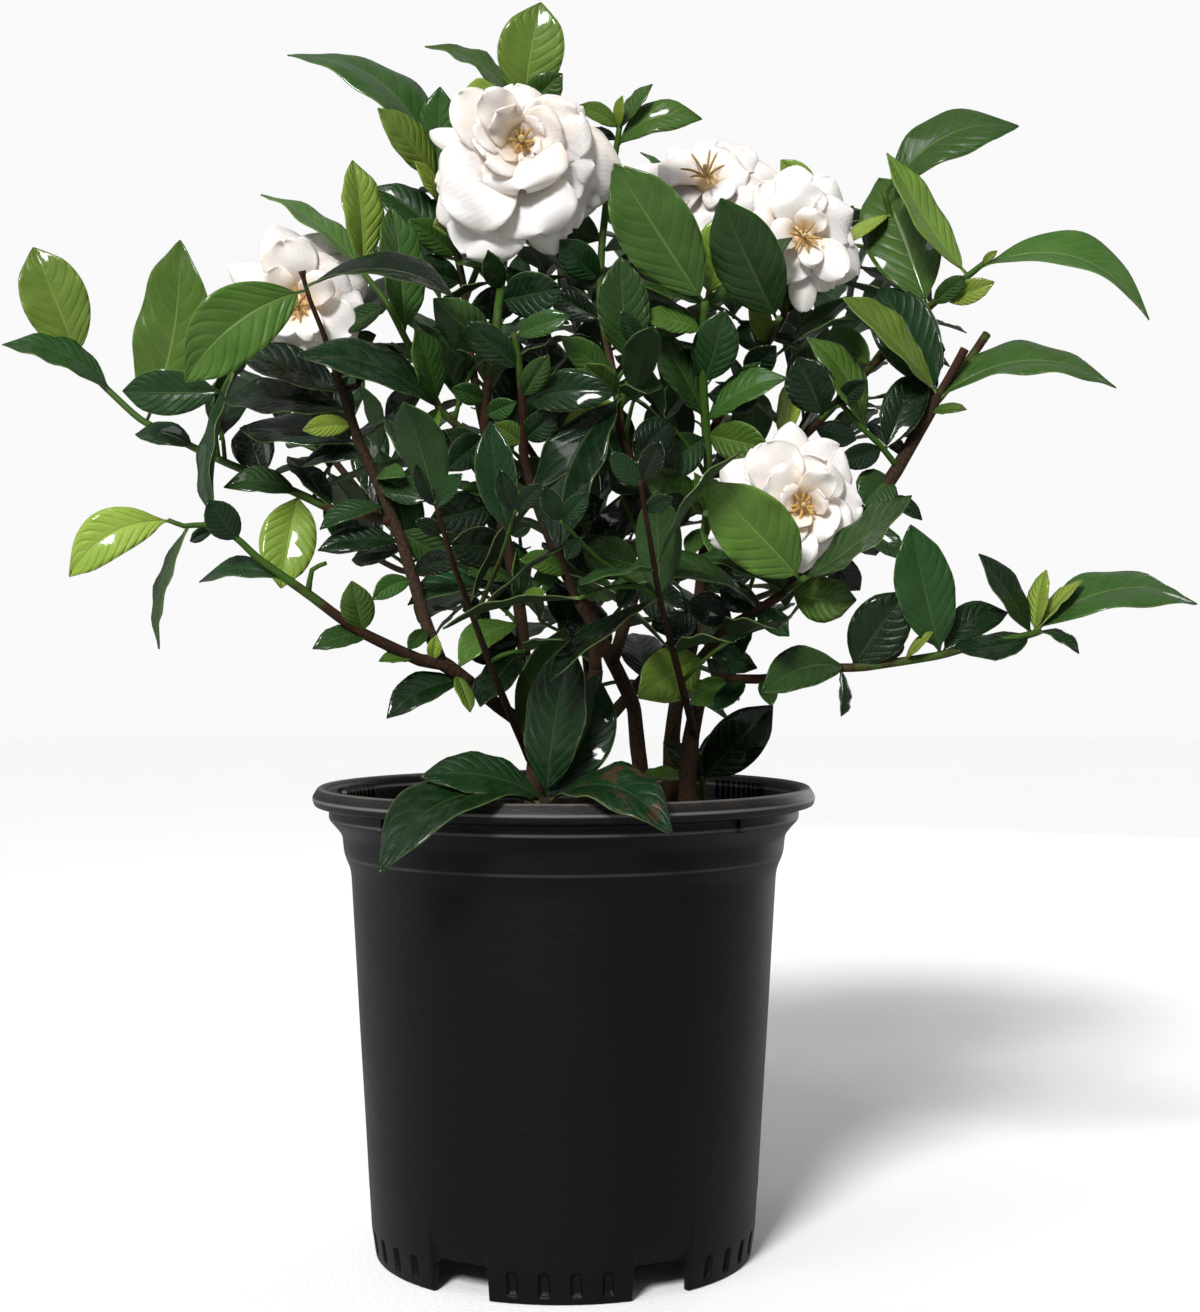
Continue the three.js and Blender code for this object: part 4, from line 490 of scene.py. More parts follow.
# Openings between the stems that stay clear in the view: column, row, radius
CLEARINGS = [
    (500, 455, 20), (480, 385, 14), (620, 495, 22), (640, 425, 12), (690, 455, 14), (600, 600, 14),
    (655, 540, 10), (460, 640, 14), (340, 440, 12), (600, 640, 16), (480, 530, 12),
]

# How a leaf's side veins sweep forward, bend and stand from side to side, in its mesh and in its colour
VEIN_SWEEP = 0.16
VEIN_BEND = 0.10
VEIN_SHIFT = 0.2

# A leaf's form, as in the solids
LEAF_RATIO = 0.44
LEAF_ARCH = 0.05
PETIOLE_PART = 0.07
SEAT_INSETS = (3, 4.6, 6.2, 7.8)
ROOT_SUNK = 1.0
DEPTH_STEPS = (0, -5, 5, -10, 10, -15, 15, -21, 21, -28, 28, -36, 36, -45, 45)
SAME_PLACE = 0.05

# Leaves by rule: millimetres between pairs, turn from pair to pair, lengths, leans and widths; the leaf at a
# twig's end has a length, a width and how far its base lies back
PAIR_STEP = 54.0
PAIR_TURN = 1.35
PAIR_STAGGER = 0.4
RULE_LENGTHS = (42.0, 72.0)
RULE_LEANS = (0.825, 1.175)
RULE_RATIOS = (0.36, 0.46)
END_LEAF = (48.0, 20.0, 1.5)
RULE_REACH = 168.0
LOWEST_TIP = POT_HEIGHT + 12
RULE_TONES = (-0.4, 2.0)

# Where the random numbers of each kind of piece start
RULE_SEED = 100
TONE_SEED = 700
TRUNK_SEED = 31
TWIG_SEED = 211
FILL_SEED = 401
BLOOM_SEED = 503
STAMEN_SEED = 607
SOIL_SEED = 809
RIB_SEED = 11
RIDGE_SEED = 41

UP = np.array([0.0, 0.0, 1.0])


def unit(vector):
    """A vector's direction, with a length of 1."""
    return vector / np.linalg.norm(vector)


def spot(column, row, depth):
    """The place in millimetres that shows at a column and row, so deep behind the pot's axis."""
    scale = (depth - EYE[1]) / EYE_FOCAL
    return np.array([EYE[0] + (column - EYE_COLUMN) * scale, depth, EYE[2] + (EYE_ROW - row) * scale])


def view_of(point):
    """The column and row at which a point shows."""
    scale = (point[1] - EYE[1]) / EYE_FOCAL
    return EYE_COLUMN + (point[0] - EYE[0]) / scale, EYE_ROW + (EYE[2] - point[2]) / scale


def turned(u, v, turn):
    """The direction that u takes when it turns towards v."""
    return u * math.cos(turn) + v * math.sin(turn)


def directions_across(way):
    """Two directions square to a way, the first one level."""
    u = unit(np.cross(UP, way))
    return u, np.cross(way, u)


def smooth(x, low, high):
    """A soft step from 0 at one number to 1 at another."""
    part = np.clip((x - low) / (high - low), 0.0, 1.0)
    return part * part * (3 - 2 * part)


CHANCE_FACTOR = 16807
CHANCE_SPAN = 2147483647


class Chance:
    """Even random numbers, the same in every run, for the small differences between like pieces."""

    def __init__(self, seed, skipped=3):
        self.state = seed
        for _ in range(skipped):
            self.part()

    def part(self):
        """A number from 0 to 1."""
        self.state = self.state * CHANCE_FACTOR % CHANCE_SPAN
        return self.state / CHANCE_SPAN

    def between(self, low, high):
        return low + (high - low) * self.part()

    def turn(self):
        """A turn anywhere round a circle."""
        return self.between(0, 6.28)


class Skin:
    """The surface of one piece while it is put together: points, faces, and what its materials read."""

    def __init__(self):
        self.points = []
        self.faces = []
        self.slots = []
        self.smooths = []
        self.blades = []
        self.kinds = []
        self.count = 0

    def add_points(self, points, blade, kind):
        """Points with their place on the blade or stem, and the kind of piece that they belong to."""
        points = points.reshape(-1, 3)
        first = self.count
        self.points.append(points)
        self.blades.append(np.broadcast_to(blade.reshape(-1, 3), points.shape))
        self.kinds.append(np.broadcast_to(np.asarray(kind, float), points.shape))
        self.count += len(points)
        return first

    def add_faces(self, faces, slot, smooth_shaded=True):
        self.faces.extend(faces)
        self.slots.extend([slot] * len(faces))
        self.smooths.extend([smooth_shaded] * len(faces))

    def add_cap(self, first, sides, slot, turned_over=False):
        """A flat face that shuts a ring of points."""
        ring = tuple(range(first, first + sides))
        self.add_faces([ring[::-1] if turned_over else ring], slot, False)

    def add_rings(self, rings, blade, kind, slot, closed=True):
        """Rings of points joined one to the next and shut at the last, and at the first where closed."""
        rows, sides = rings.shape[:2]
        first = self.add_points(rings, blade, kind)
        self.add_faces(ring_faces(first, pairwise(range(rows)), sides), slot)
        if closed:
            self.add_cap(first, sides, slot, turned_over=True)
        self.add_cap(first + (rows - 1) * sides, sides, slot)

    def mesh(self, name):
        mesh = bpy.data.meshes.new(name)
        points = np.concatenate(self.points) * MM
        mesh.from_pydata(points.tolist(), [], self.faces)
        mesh.polygons.foreach_set("material_index", self.slots)
        mesh.polygons.foreach_set("use_smooth", self.smooths)
        for label, values in (("blade", self.blades), ("kind", self.kinds)):
            attribute = mesh.attributes.new(label, "FLOAT_VECTOR", "POINT")
            attribute.data.foreach_set("vector", np.concatenate(values).astype(np.float32).ravel())
        mesh.update()
        return mesh


def stacked(*parts):
    """Three numbers for each point of a grid."""
    return np.stack(np.broadcast_arrays(*parts), axis=2)


def grid_faces(first, rows, columns, turned_over=False):
    """Faces between rows of points."""
    faces = []
    for i in range(rows - 1):
        for a in range(first + i * columns, first + (i + 1) * columns - 1):
            face = (a, a + 1, a + 1 + columns, a + columns)
            faces.append(face[::-1] if turned_over else face)
    return faces


def ring_faces(first, bands, columns):
    """Faces between closed rings of points: bands are the pairs of rings that they join."""
    return [
        (first + i * columns + j, first + i * columns + (j + 1) % columns,
         first + k * columns + (j + 1) % columns, first + k * columns + j)
        for i, k in bands for j in range(columns)
    ]


def grid_normals(middle):
    """The direction square to a grid of points, at each of them."""
    across = np.gradient(middle, axis=1)
    along = np.gradient(middle, axis=0)
    normals = np.cross(across, along)
    return normals / np.maximum(np.linalg.norm(normals, axis=2, keepdims=True), 1e-9)


def add_sheet(skin, middle, above, below, facing, blade, kind, slots):
    """A thin blade round its middle surface: its upper side, its underside and the edge between them."""
    normals = grid_normals(middle)
    if np.sum(normals * facing) < 0:
        middle, blade, above, below = (part[:, ::-1] for part in (middle, blade, above, below))
        normals = grid_normals(middle)
    rows, columns = middle.shape[:2]
    top = skin.add_points(middle + normals * above[..., None], blade, kind)
    bottom = skin.add_points(middle - normals * below[..., None], blade, kind)
    skin.add_faces(grid_faces(top, rows, columns), slots[0])
    skin.add_faces(grid_faces(bottom, rows, columns, turned_over=True), slots[1])
    last = rows * columns - 1
    margin = [*range(columns), *range(2 * columns - 1, last, columns)]
    margin += [*range(last, last - columns, -1), *range((rows - 2) * columns, 0, -columns)]
    steps = zip(margin, margin[1:] + margin[:1])
    skin.add_faces([(top + b, top + a, bottom + a, bottom + b) for a, b in steps], slots[0], False)


def carried_frames(path):
    """Directions across a path, carried along it without a twist."""
    tangents = np.gradient(path, axis=0)
    tangents /= np.linalg.norm(tangents, axis=1, keepdims=True)
    lead = np.array([1.0, 0.0, 0.0]) if abs(tangents[0][2]) > 0.8 else UP
    u = unit(np.cross(lead, tangents[0]))
    sides = []
    for tangent in tangents:
        u = unit(u - tangent * np.dot(u, tangent))
        sides.append((u, np.cross(tangent, u)))
    return sides


def add_tube(skin, path, radii, sides, kind, slot, wobble=None, along=1.0):
    """A tube along a path, closed at both ends. wobble gives each point's part of the radius."""
    turns = np.arange(sides) * 2 * math.pi / sides
    rings = np.empty((len(path), sides, 3))
    for i, (u, v) in enumerate(carried_frames(path)):
        out = np.outer(np.cos(turns), u) + np.outer(np.sin(turns), v)
        reach = radii[i] if wobble is None else radii[i] * wobble[i][:, None]
        rings[i] = path[i] + out * reach
    walked = np.concatenate([[0], np.cumsum(np.linalg.norm(np.diff(path, axis=0), axis=1))])
    skin.add_rings(rings, stacked(np.cos(turns), walked[:, None] * along, radii[:, None]), kind, slot)


def rounded_path(rows, step):
    """A stem's points with their corners rounded, about a step apart, and the radius at each."""
    points = np.array([spot(*row[:3]) for row in rows])
    radii = np.array([row[3] for row in rows])
    slopes = np.gradient(points, axis=0) * 0.6
    path, widths = [], []
    for i in range(len(points) - 1):
        run = np.linalg.norm(points[i + 1] - points[i])
        count = max(int(run / step), 2)
        for t in np.arange(count) / count:
            t2, t3 = t * t, t * t * t
            path.append(
                points[i] * (2 * t3 - 3 * t2 + 1) + slopes[i] * (t3 - 2 * t2 + t)
                + points[i + 1] * (3 * t2 - 2 * t3) + slopes[i + 1] * (t3 - t2))
            widths.append(radii[i] * (1 - t) + radii[i + 1] * t)
    path.append(points[-1])
    widths.append(radii[-1])
    return np.array(path), np.array(widths)


def bumpy(path, sides, chance, depth):
    """Parts of the radius by which a stem's skin swells and dips."""
    turns = np.arange(sides) * 2 * math.pi / sides
    walked = np.arange(len(path))[:, None]
    swell = np.zeros((len(path), sides))
    for pitch, weight in ((0.31, 0.5), (0.83, 0.3), (1.7, 0.2)):
        phase = chance.turn()
        lobes = int(chance.between(1, 4))
        swell += weight * np.sin(walked * pitch + lobes * turns + phase)
    return 1 + depth * swell


Seat = namedtuple("Seat", "off depth point radius")
Pose = namedtuple("Pose", "base tip along length normal upright broad bow")


def seat_of(twigs, column, row, inset):
    """The point of the twigs that lies nearest to a leaf's base in the view."""
    best = Seat(math.inf, 0, None, 0)
    for rows in twigs:
        for (x0, y0, z0, r0), (x1, y1, z1, r1) in pairwise(rows):
            run = math.hypot(x1 - x0, y1 - y0)
            along = ((column - x0) * (x1 - x0) + (row - y0) * (y1 - y0)) / run
            t = min(max(along, inset), run - inset) / run
            x, y, depth = x0 + t * (x1 - x0), y0 + t * (y1 - y0), z0 + t * (z1 - z0)
            off = math.hypot(x - column, y - row)
            if off < best.off:
                best = Seat(off, depth, spot(x, y, depth), r0 + t * (r1 - r0))
    return best


def leaf_pose(seat, tip, width, bow):
    """A leaf's base, upper side and bow, worked out from how it shows in the view."""
    along = unit(tip - seat.point)
    base = seat.point + along * max(0.5 * seat.radius - ROOT_SUNK, 0)
    length = np.linalg.norm(tip - base)
    to_eye = EYE - (base + tip) / 2
    millimetres = np.linalg.norm(to_eye) / EYE_FOCAL
    facing = unit(to_eye - along * np.dot(to_eye, along))
    upright = np.cross(along, facing)
    if upright[2] < 0:
        upright = -upright
    shown = abs(width) * millimetres
    broad = max(shown, LEAF_RATIO * length)
    turn = math.acos(min(shown / broad, 1))
    normal = unit(facing * math.copysign(math.cos(turn), width) + upright * math.sin(turn))
    return Pose(base, tip, along, length, normal, upright, broad, bow / 100 * length)


def rule_pose(base, tip, broad):
    """A leaf whose upper side looks at the sky."""
    along = unit(tip - base)
    lead = UP if abs(along[2]) < 0.98 else np.array([0.0, -1.0, 0.0])
    normal = unit(lead - along * np.dot(lead, along))
    return Pose(base, tip, along, np.linalg.norm(tip - base), normal, normal, broad, 0.0)


def inside_bush(column, row):
    """Whether a place in the view lies in the bush's outline and in none of its openings."""
    inside = False
    for (x0, y0), (x1, y1) in zip(BUSH, BUSH[1:] + BUSH[:1]):
        if (y0 > row) != (y1 > row) and column < x0 + (row - y0) / (y1 - y0) * (x1 - x0):
            inside = not inside
    return inside and all(math.hypot(column - x, row - y) > radius for x, y, radius in CLEARINGS)


def walk(rows, walked, step):
    """Places a step apart along a stem: the start of a straight run, how far on, and its directions."""
    for start, end in pairwise(spot(*row[:3]) for row in rows):
        run = np.linalg.norm(end - start)
        tangent = (end - start) / run
        u, v = directions_across(tangent)
        while walked < run:
            yield start, walked, tangent, u, v
            walked += step
        walked -= run


def rule_leaves(twigs, seed):
    """Pairs of leaves up each twig, each pair turned from the last, and one at its end."""
    chance = Chance(seed, skipped=0)
    leaves = []
    for rows in twigs:
        turn = chance.part() * math.pi
        for start, walked, tangent, u, v in walk(rows, 0.0, PAIR_STEP):
            turn += PAIR_TURN
            for half in (0, math.pi):
                base = start + tangent * (walked + PAIR_STAGGER * half)
                length = chance.between(*RULE_LENGTHS)
                along = turned(tangent, turned(u, v, turn + half), chance.between(*RULE_LEANS))
                leaves.append((base, base + along * length, chance.between(*RULE_RATIOS) * length))
        before, end = (spot(*row[:3]) for row in rows[-2:])
        tangent = unit(end - before)
        leaves.append((end - tangent * END_LEAF[2], end + tangent * END_LEAF[0], END_LEAF[1]))
    return [
        (base, tip, broad) for base, tip, broad in leaves
        if inside_bush(*view_of(tip)) and abs(tip[1]) < RULE_REACH and tip[2] > LOWEST_TIP
    ]


def paint(red, green, blue):
    """A colour as a screen shows it, from 0 to 255, as the linear colour that a material takes."""
    return tuple(((part / 255 + 0.055) / 1.055) ** 2.4 for part in (red, green, blue))


def colour(name, description, *parts):
    return FloatVectorProperty(
        name=name, description=description, subtype="COLOR", size=3, min=0, max=1, default=paint(*parts))


def amount(name, description, default, least, most, unit=None):
    """A length or a power with its unit, or else a part of something."""
    more = {"unit": unit} if unit else {"subtype": "FACTOR"}
    return FloatProperty(
        name=name, description=description, default=default, min=least, max=most, precision=4, **more)


def tally(name, description, default, least, most):
    return IntProperty(
        name=name, description=description, default=default, min=least, max=most, subtype="UNSIGNED")


class LeafSettings(PropertyGroup):
    thickness: amount("Thickness", "Thickness of a leaf's blade", 0.00045, 0.0002, 0.001, "LENGTH")
    wave: amount("Wave", "How far a leaf's margin waves, in parts of its half width", 0.07, 0, 0.3)
    fold: amount("Fold", "How far a leaf folds up along its midrib, in parts of its half width", 0.16, 0, 0.5)
    vein_pairs: tally("Vein pairs", "Pairs of side veins on a leaf", 9, 3, 14)
    # The dark and deep colours are old leaves' own colours and also painted shade on the leaves inside the
    # bush; the light colour is painted light on the leaves that catch it
    dark: colour("Old leaf", "Colour of the oldest leaves", 7, 27, 11)
    deep: colour("Dark leaf", "Colour of the leaves inside the bush", 17, 48, 19)
    middle: colour("Leaf", "Colour of most leaves", 47, 80, 32)
    light: colour("Light leaf", "Colour of the leaves that catch the light", 74, 107, 38)
    young: colour("Young leaf", "Colour of the newest leaves", 138, 158, 62)
    vein: colour("Vein", "Colour of a leaf's midrib and side veins", 138, 160, 92)


class StemSettings(PropertyGroup):
    green: colour("Green stem", "Colour of the youngest stems", 52, 82, 26)
    brown: colour("Bark", "Colour of the woody stems", 38, 26, 19)
    red: colour("Ripening bark", "Colour of stems that turn woody", 52, 30, 20)
    relief: amount("Bark relief", "Depth of the bark's swellings, in parts of a stem's radius", 0.07, 0, 0.3)


class BloomSettings(PropertyGroup):
    thickness: amount("Thickness", "Thickness of a petal", 0.0006, 0.0003, 0.001, "LENGTH")
    ruffle: amount("Ruffle", "How far a petal's edge waves, in parts of its half width", 0.14, 0, 0.3)
    petal: colour("Petal", "Colour of the petals", 240, 232, 225)
    throat: colour("Throat", "Colour at the petals' roots", 246, 208, 160)
    bruise: colour("Bruise", "Colour where a petal is ageing", 206, 166, 122)
    stamen: colour("Stamens", "Colour of the anthers", 222, 182, 104)
    calyx: colour("Calyx", "Colour of the calyx", 96, 132, 60)


class PotSettings(PropertyGroup):
    plastic: colour("Plastic", "Colour of the moulded pot", 6, 8, 11)
    dust: colour("Dust", "Colour of dried soil on the pot", 112, 100, 84)


class SoilSettings(PropertyGroup):
    peat: colour("Peat", "Colour of the damp peat", 52, 38, 28)
    chip: colour("Bark chip", "Colour of the lightest bark chips", 128, 92, 62)
    chips: tally("Bark chips", "Number of bark chips on the soil", 620, 0, 2000)


class StageSettings(PropertyGroup):
    floor: colour("Floor", "Colour of the studio floor", 254, 254, 253)
    key_power: amount("Main light", "Power of the large light over the plant", 5.0, 0, 50, "POWER")
    side_power: amount("Side lights", "Power of each light beside the plant", 3.2, 0, 50, "POWER")
    even_light: amount("Even light", "Strength of the soft light that reaches all the floor", 3.8, 0, 20)


class GardeniaSettings(PropertyGroup):
    leaf: PointerProperty(type=LeafSettings)
    stem: PointerProperty(type=StemSettings)
    bloom: PointerProperty(type=BloomSettings)
    pot: PointerProperty(type=PotSettings)
    soil: PointerProperty(type=SoilSettings)
    stage: PointerProperty(type=StageSettings)


class Tree:
    """A node tree, with short calls that add a node and link its inputs."""

    def __init__(self, tree):
        self.tree = tree
        self.count = 0

    def add(self, kind, inputs=(), **options):
        node = self.tree.nodes.new(kind)
        node.location = (180 * (self.count % 12), -260 * (self.count // 12))
        self.count += 1
        for name, value in options.items():
            setattr(node, name, value)
        for label, value in dict(inputs).items():
            self.feed(node.inputs[label], value)
        return node

    def feed(self, socket, value):
        if isinstance(value, bpy.types.NodeSocket):
            self.tree.links.new(value, socket)
        elif socket.type == "RGBA":
            socket.default_value = (*value, 1) if len(value) == 3 else value
        else:
            socket.default_value = value

    def fill(self, node, values):
        """Feeds a node's inputs in their order and gives its first output."""
        for socket, value in zip(node.inputs, values):
            self.feed(socket, value)
        return node.outputs[0]

    def math(self, operation, *values):
        return self.fill(self.add("ShaderNodeMath", operation=operation), values)

    def times(self, first, second):
        return self.math("MULTIPLY", first, second)

    def plus(self, first, second):
        return self.math("ADD", first, second)

    def minus(self, first, second):
        return self.math("SUBTRACT", first, second)

    def size(self, value):
        return self.math("ABSOLUTE", value)

    def scaled(self, value, factor, start):
        return self.plus(self.times(value, factor), start)

    def step(self, *values):
        """A soft step: of what, from where to where, and from and to which other numbers than 0 and 1."""
        return self.fill(self.add("ShaderNodeMapRange", interpolation_type="SMOOTHSTEP"), values)

    def mix(self, factor, first, second, blend="MIX"):
        node = self.add("ShaderNodeMix", data_type="RGBA", blend_type=blend)
        for index, value in ((0, factor), (6, first), (7, second)):
            self.feed(node.inputs[index], value)
        return node.outputs[2]

    def ramp(self, value, colours):
        node = self.add("ShaderNodeValToRGB", {"Fac": value})
        elements = node.color_ramp.elements
        for index, (place, shade) in enumerate(colours):
            element = elements[index] if index < 2 else elements.new(place)
            element.position = place
            element.color = (*shade, 1)
        return node.outputs["Color"]

    def noise(self, vector, scale, detail, roughness, distortion=0.0):
        inputs = {
            "Vector": vector, "Scale": scale, "Detail": detail, "Roughness": roughness,
            "Distortion": distortion}
        return self.add("ShaderNodeTexNoise", inputs).outputs[0]

    def cells(self, vector, scale):
        """How far a place lies from the nearest edge between cells."""
        inputs = {"Vector": vector, "Scale": scale}
        return self.add("ShaderNodeTexVoronoi", inputs, feature="DISTANCE_TO_EDGE").outputs[0]

    def place(self):
        return self.add("ShaderNodeTexCoord").outputs["Object"]

    def split(self, vector):
        return self.add("ShaderNodeSeparateXYZ", {"Vector": vector}).outputs

    def parts(self, name):
        """The three numbers that each point keeps under a name."""
        return self.split(self.add("ShaderNodeAttribute", attribute_name=name).outputs["Vector"])

    def use(self, group, **inputs):
        named = {label.replace("_", " "): value for label, value in inputs.items()}
        return self.add("ShaderNodeGroup", named, node_tree=group()).outputs

    def mottled(self, scale, contrast, specks=900.0):
        return self.use(mottling, Scale=scale, Contrast=contrast, Speck_scale=specks)

    def grained(self, scale, stretch, roughness):
        return self.use(fine_grain, Scale=scale, Stretch=stretch, Roughness=roughness)


def group(name, inputs, *outputs):
    """Builds a node group with named sockets the first time that a material asks for it."""
    def wrap(build):
        def ask():
            made = bpy.data.node_groups.get(name)
            if made:
                return made
            made = bpy.data.node_groups.new(name, "ShaderNodeTree")
            for label, value in inputs.items():
                socket = made.interface.new_socket(name=label, in_out="INPUT", socket_type="NodeSocketFloat")
                socket.default_value = value
            for label in outputs:
                made.interface.new_socket(name=label, in_out="OUTPUT", socket_type="NodeSocketFloat")
            tree = Tree(made)
            results = build(tree, tree.add("NodeGroupInput").outputs)
            tree.add("NodeGroupOutput", zip(outputs, results))
            return made
        return ask
    return wrap


@group("leaf veins", {"Across": 0.0, "Along": 0.5, "Pairs": 9.0, "Net scale": 22.0}, "Vein", "Height")
def leaf_veins(tree, given):
    """The midrib and side veins of a leaf, from the place across and along its blade."""
    wide = tree.size(given["Across"])
    bent = tree.times(tree.math("POWER", wide, 2.0), VEIN_BEND)
    forward = tree.plus(tree.times(wide, VEIN_SWEEP), bent)
    count = tree.times(tree.minus(given["Along"], forward), given["Pairs"])
    count = tree.plus(count, tree.times(tree.math("SIGN", given["Across"]), VEIN_SHIFT))
    off = tree.size(tree.minus(tree.math("FRACT", tree.plus(count, 0.5)), 0.5))
    side = tree.times(tree.step(off, 0.02, 0.10, 1.0, 0.0), tree.step(wide, 0.72, 0.98, 1.0, 0.0))
    rib_width = tree.step(given["Along"], 0.1, 1.0, 0.075, 0.03)
    rib = tree.step(wide, tree.times(rib_width, 0.35), rib_width, 1.0, 0.0)
    place = tree.add("ShaderNodeCombineXYZ", {"X": wide, "Y": tree.times(given["Along"], 4.0)}).outputs[0]
    net = tree.step(tree.cells(place, given["Net scale"]), 0.0, 0.09, 1.0, 0.0)
    vein = tree.math("MAXIMUM", rib, tree.math("MAXIMUM", tree.times(side, 0.26), tree.times(net, 0.10)))
    swell = tree.times(tree.step(off, 0.0, 0.34), tree.step(wide, 0.05, 0.4))
    return vein, tree.minus(tree.times(swell, 0.55), tree.times(vein, 0.5))


@group("mottling", {"Scale": 60.0, "Contrast": 0.5, "Speck scale": 900.0}, "Patch", "Speck")
def mottling(tree, given):
    """Soft patches and fine specks that vary a colour over a surface."""
    reach = tree.times(given["Contrast"], 0.3)
    patch = tree.noise(tree.place(), given["Scale"], 4.0, 0.55, 0.4)
    speck = tree.noise(tree.place(), given["Speck scale"], 2.0, 0.6)
    return tree.step(patch, tree.minus(0.5, reach), tree.plus(0.5, reach)), tree.step(speck, 0.35, 0.68)


@group("fine grain", {"Scale": 400.0, "Stretch": 1.0, "Roughness": 0.6}, "Grain", "Cracks")
def fine_grain(tree, given):
    """A fine grain drawn out along the height, for bark, petals and moulded plastic."""
    height = tree.math("DIVIDE", 1.0, given["Stretch"])
    squeeze = tree.add("ShaderNodeCombineXYZ", {"X": 1.0, "Y": 1.0, "Z": height}).outputs[0]
    place = tree.fill(tree.add("ShaderNodeVectorMath", operation="MULTIPLY"), (tree.place(), squeeze))
    cells = tree.cells(place, tree.times(given["Scale"], 0.4))
    return tree.noise(place, given["Scale"], 5.0, given["Roughness"]), tree.step(cells, 0.0, 0.16, 1.0, 0.0)


@group("dust", {"Amount": 0.5, "Scale": 70.0, "Facing": 0.3}, "Mask")
def dust(tree, given):
    """Dust that settles where a surface looks up, in uneven patches."""
    up = tree.split(tree.add("ShaderNodeNewGeometry").outputs["Normal"])["Z"]
    lying = tree.step(up, given["Facing"], 1.0)
    patch = tree.step(tree.noise(tree.place(), given["Scale"], 6.0, 0.65), 0.42, 0.70)
    return (tree.times(tree.times(lying, patch), given["Amount"]),)


def surface(name, depth, **fixed):
    """Builds a material the first time that a piece asks for it: its colour, roughness and relief as built
    below, the relief's depth, and what stays the same all over."""
    def wrap(build):
        def ask(settings):
            made = bpy.data.materials.get(name)
            if made:
                return made
            made = bpy.data.materials.new(name)
            made.use_nodes = True
            tree = Tree(made.node_tree)
            base, roughness, height = build(tree, settings)
            relief = tree.add("ShaderNodeBump", {"Height": height, "Distance": depth, "Strength": 1.0})
            inputs = {"Base Color": base, "Roughness": roughness, "Normal": relief.outputs["Normal"]}
            inputs.update((label.replace("_", " "), value) for label, value in fixed.items())
            for label, value in inputs.items():
                tree.feed(made.node_tree.nodes["Principled BSDF"].inputs[label], value)
            return made
        return ask
    return wrap


# Second colours that wear, dirt and age mix into the main ones, along with painted highlights on the pot's
# lip and edges and painted shade in the petals' furrows; the floor's unseen colour is the one that it gives
# to light bouncing off it
LEAF_SPOT = paint(62, 44, 28)
LEAF_FILM = paint(170, 178, 160)
LEAF_BACK = paint(72, 102, 46)
BARK_CRACK = paint(44, 32, 24)
BARK_SPECK = paint(150, 122, 90)
PETAL_FURROW_SHADE = paint(232, 222, 204)
CALYX_DARK = paint(58, 88, 36)
ANTHER_DARK = paint(178, 126, 58)
CLUB_PALE = paint(222, 206, 140)
PLASTIC_PATCH = paint(9, 12, 16)
PLASTIC_SCUFF = paint(92, 90, 88)
LIP_HIGHLIGHT_COLOUR = paint(120, 118, 114)
EDGE_HIGHLIGHT_COLOUR = paint(140, 138, 134)
PEAT_DARK = paint(26, 20, 15)
SOIL_SPECK = paint(150, 128, 98)
FLOOR_PATCH = paint(246, 246, 245)
FLOOR_UNSEEN = paint(186, 186, 184)


def leaf_face(tree, leaf, vein_part, net_scale):
    """The colour, veins, patches and kind that both sides of a leaf have."""
    kind, blade = tree.parts("kind"), tree.parts("blade")
    veins = tree.use(
        leaf_veins, Across=blade["X"], Along=blade["Y"], Pairs=float(leaf.vein_pairs), Net_scale=net_scale)
    # Besides age, the tone ramp paints shade on the dark-toned leaves inside the bush and light on the
    # light-toned ones
    base = tree.ramp(kind["X"], [
        (0.0, leaf.dark), (1.0, leaf.young), (0.22, leaf.deep), (0.45, leaf.middle), (0.72, leaf.light)])
    patch = tree.mottled(70.0, 0.9)
    base = tree.mix(tree.times(patch["Patch"], 0.35), base, leaf.light, "SOFT_LIGHT")
    base = tree.add("ShaderNodeHueSaturation", {
        "Color": base, "Hue": tree.step(kind["Y"], 0.0, 1.0, 0.492, 0.508),
        "Value": tree.step(kind["Y"], 0.0, 1.0, 0.78, 1.22)}).outputs[0]
    vein = tree.mix(tree.step(kind["X"], 0.1, 0.8, 0.2, 1.0), leaf.deep, leaf.vein)
    return tree.mix(tree.times(veins["Vein"], vein_part), base, vein), veins, patch, kind, blade


@surface("leaf upper side", 0.0005, IOR=1.42, Specular_IOR_Level=0.18, Coat_Weight=0.30, Coat_Roughness=0.07)
def leaf_upper(tree, settings):
    base, veins, patch, kind, blade = leaf_face(tree, settings.leaf, 0.30, 22.0)
    rim = tree.step(tree.size(blade["X"]), 0.95, 1.0)
    base = tree.mix(tree.times(rim, 0.30), base, settings.leaf.vein)
    spots = tree.step(tree.noise(tree.place(), 85.0, 4.0, 0.6), 0.53, 0.60)
    spotted = tree.times(spots, tree.step(kind["Y"], 0.85, 0.95, 0.0, 0.85))
    base = tree.mix(spotted, base, LEAF_SPOT)
    film = tree.use(dust, Amount=0.03, Scale=120.0, Facing=0.0)["Mask"]
    base = tree.mix(film, base, LEAF_FILM)
    roughness = tree.plus(tree.scaled(patch["Speck"], 0.10, 0.25), tree.times(film, 0.8))
    return base, roughness, veins["Height"]


@surface("leaf underside", 0.0004, Specular_IOR_Level=0.25)
def leaf_under(tree, settings):
    base, veins, patch, *_ = leaf_face(tree, settings.leaf, 0.55, 30.0)
    return tree.mix(0.20, base, LEAF_BACK), tree.scaled(patch["Speck"], 0.12, 0.48), veins["Vein"]


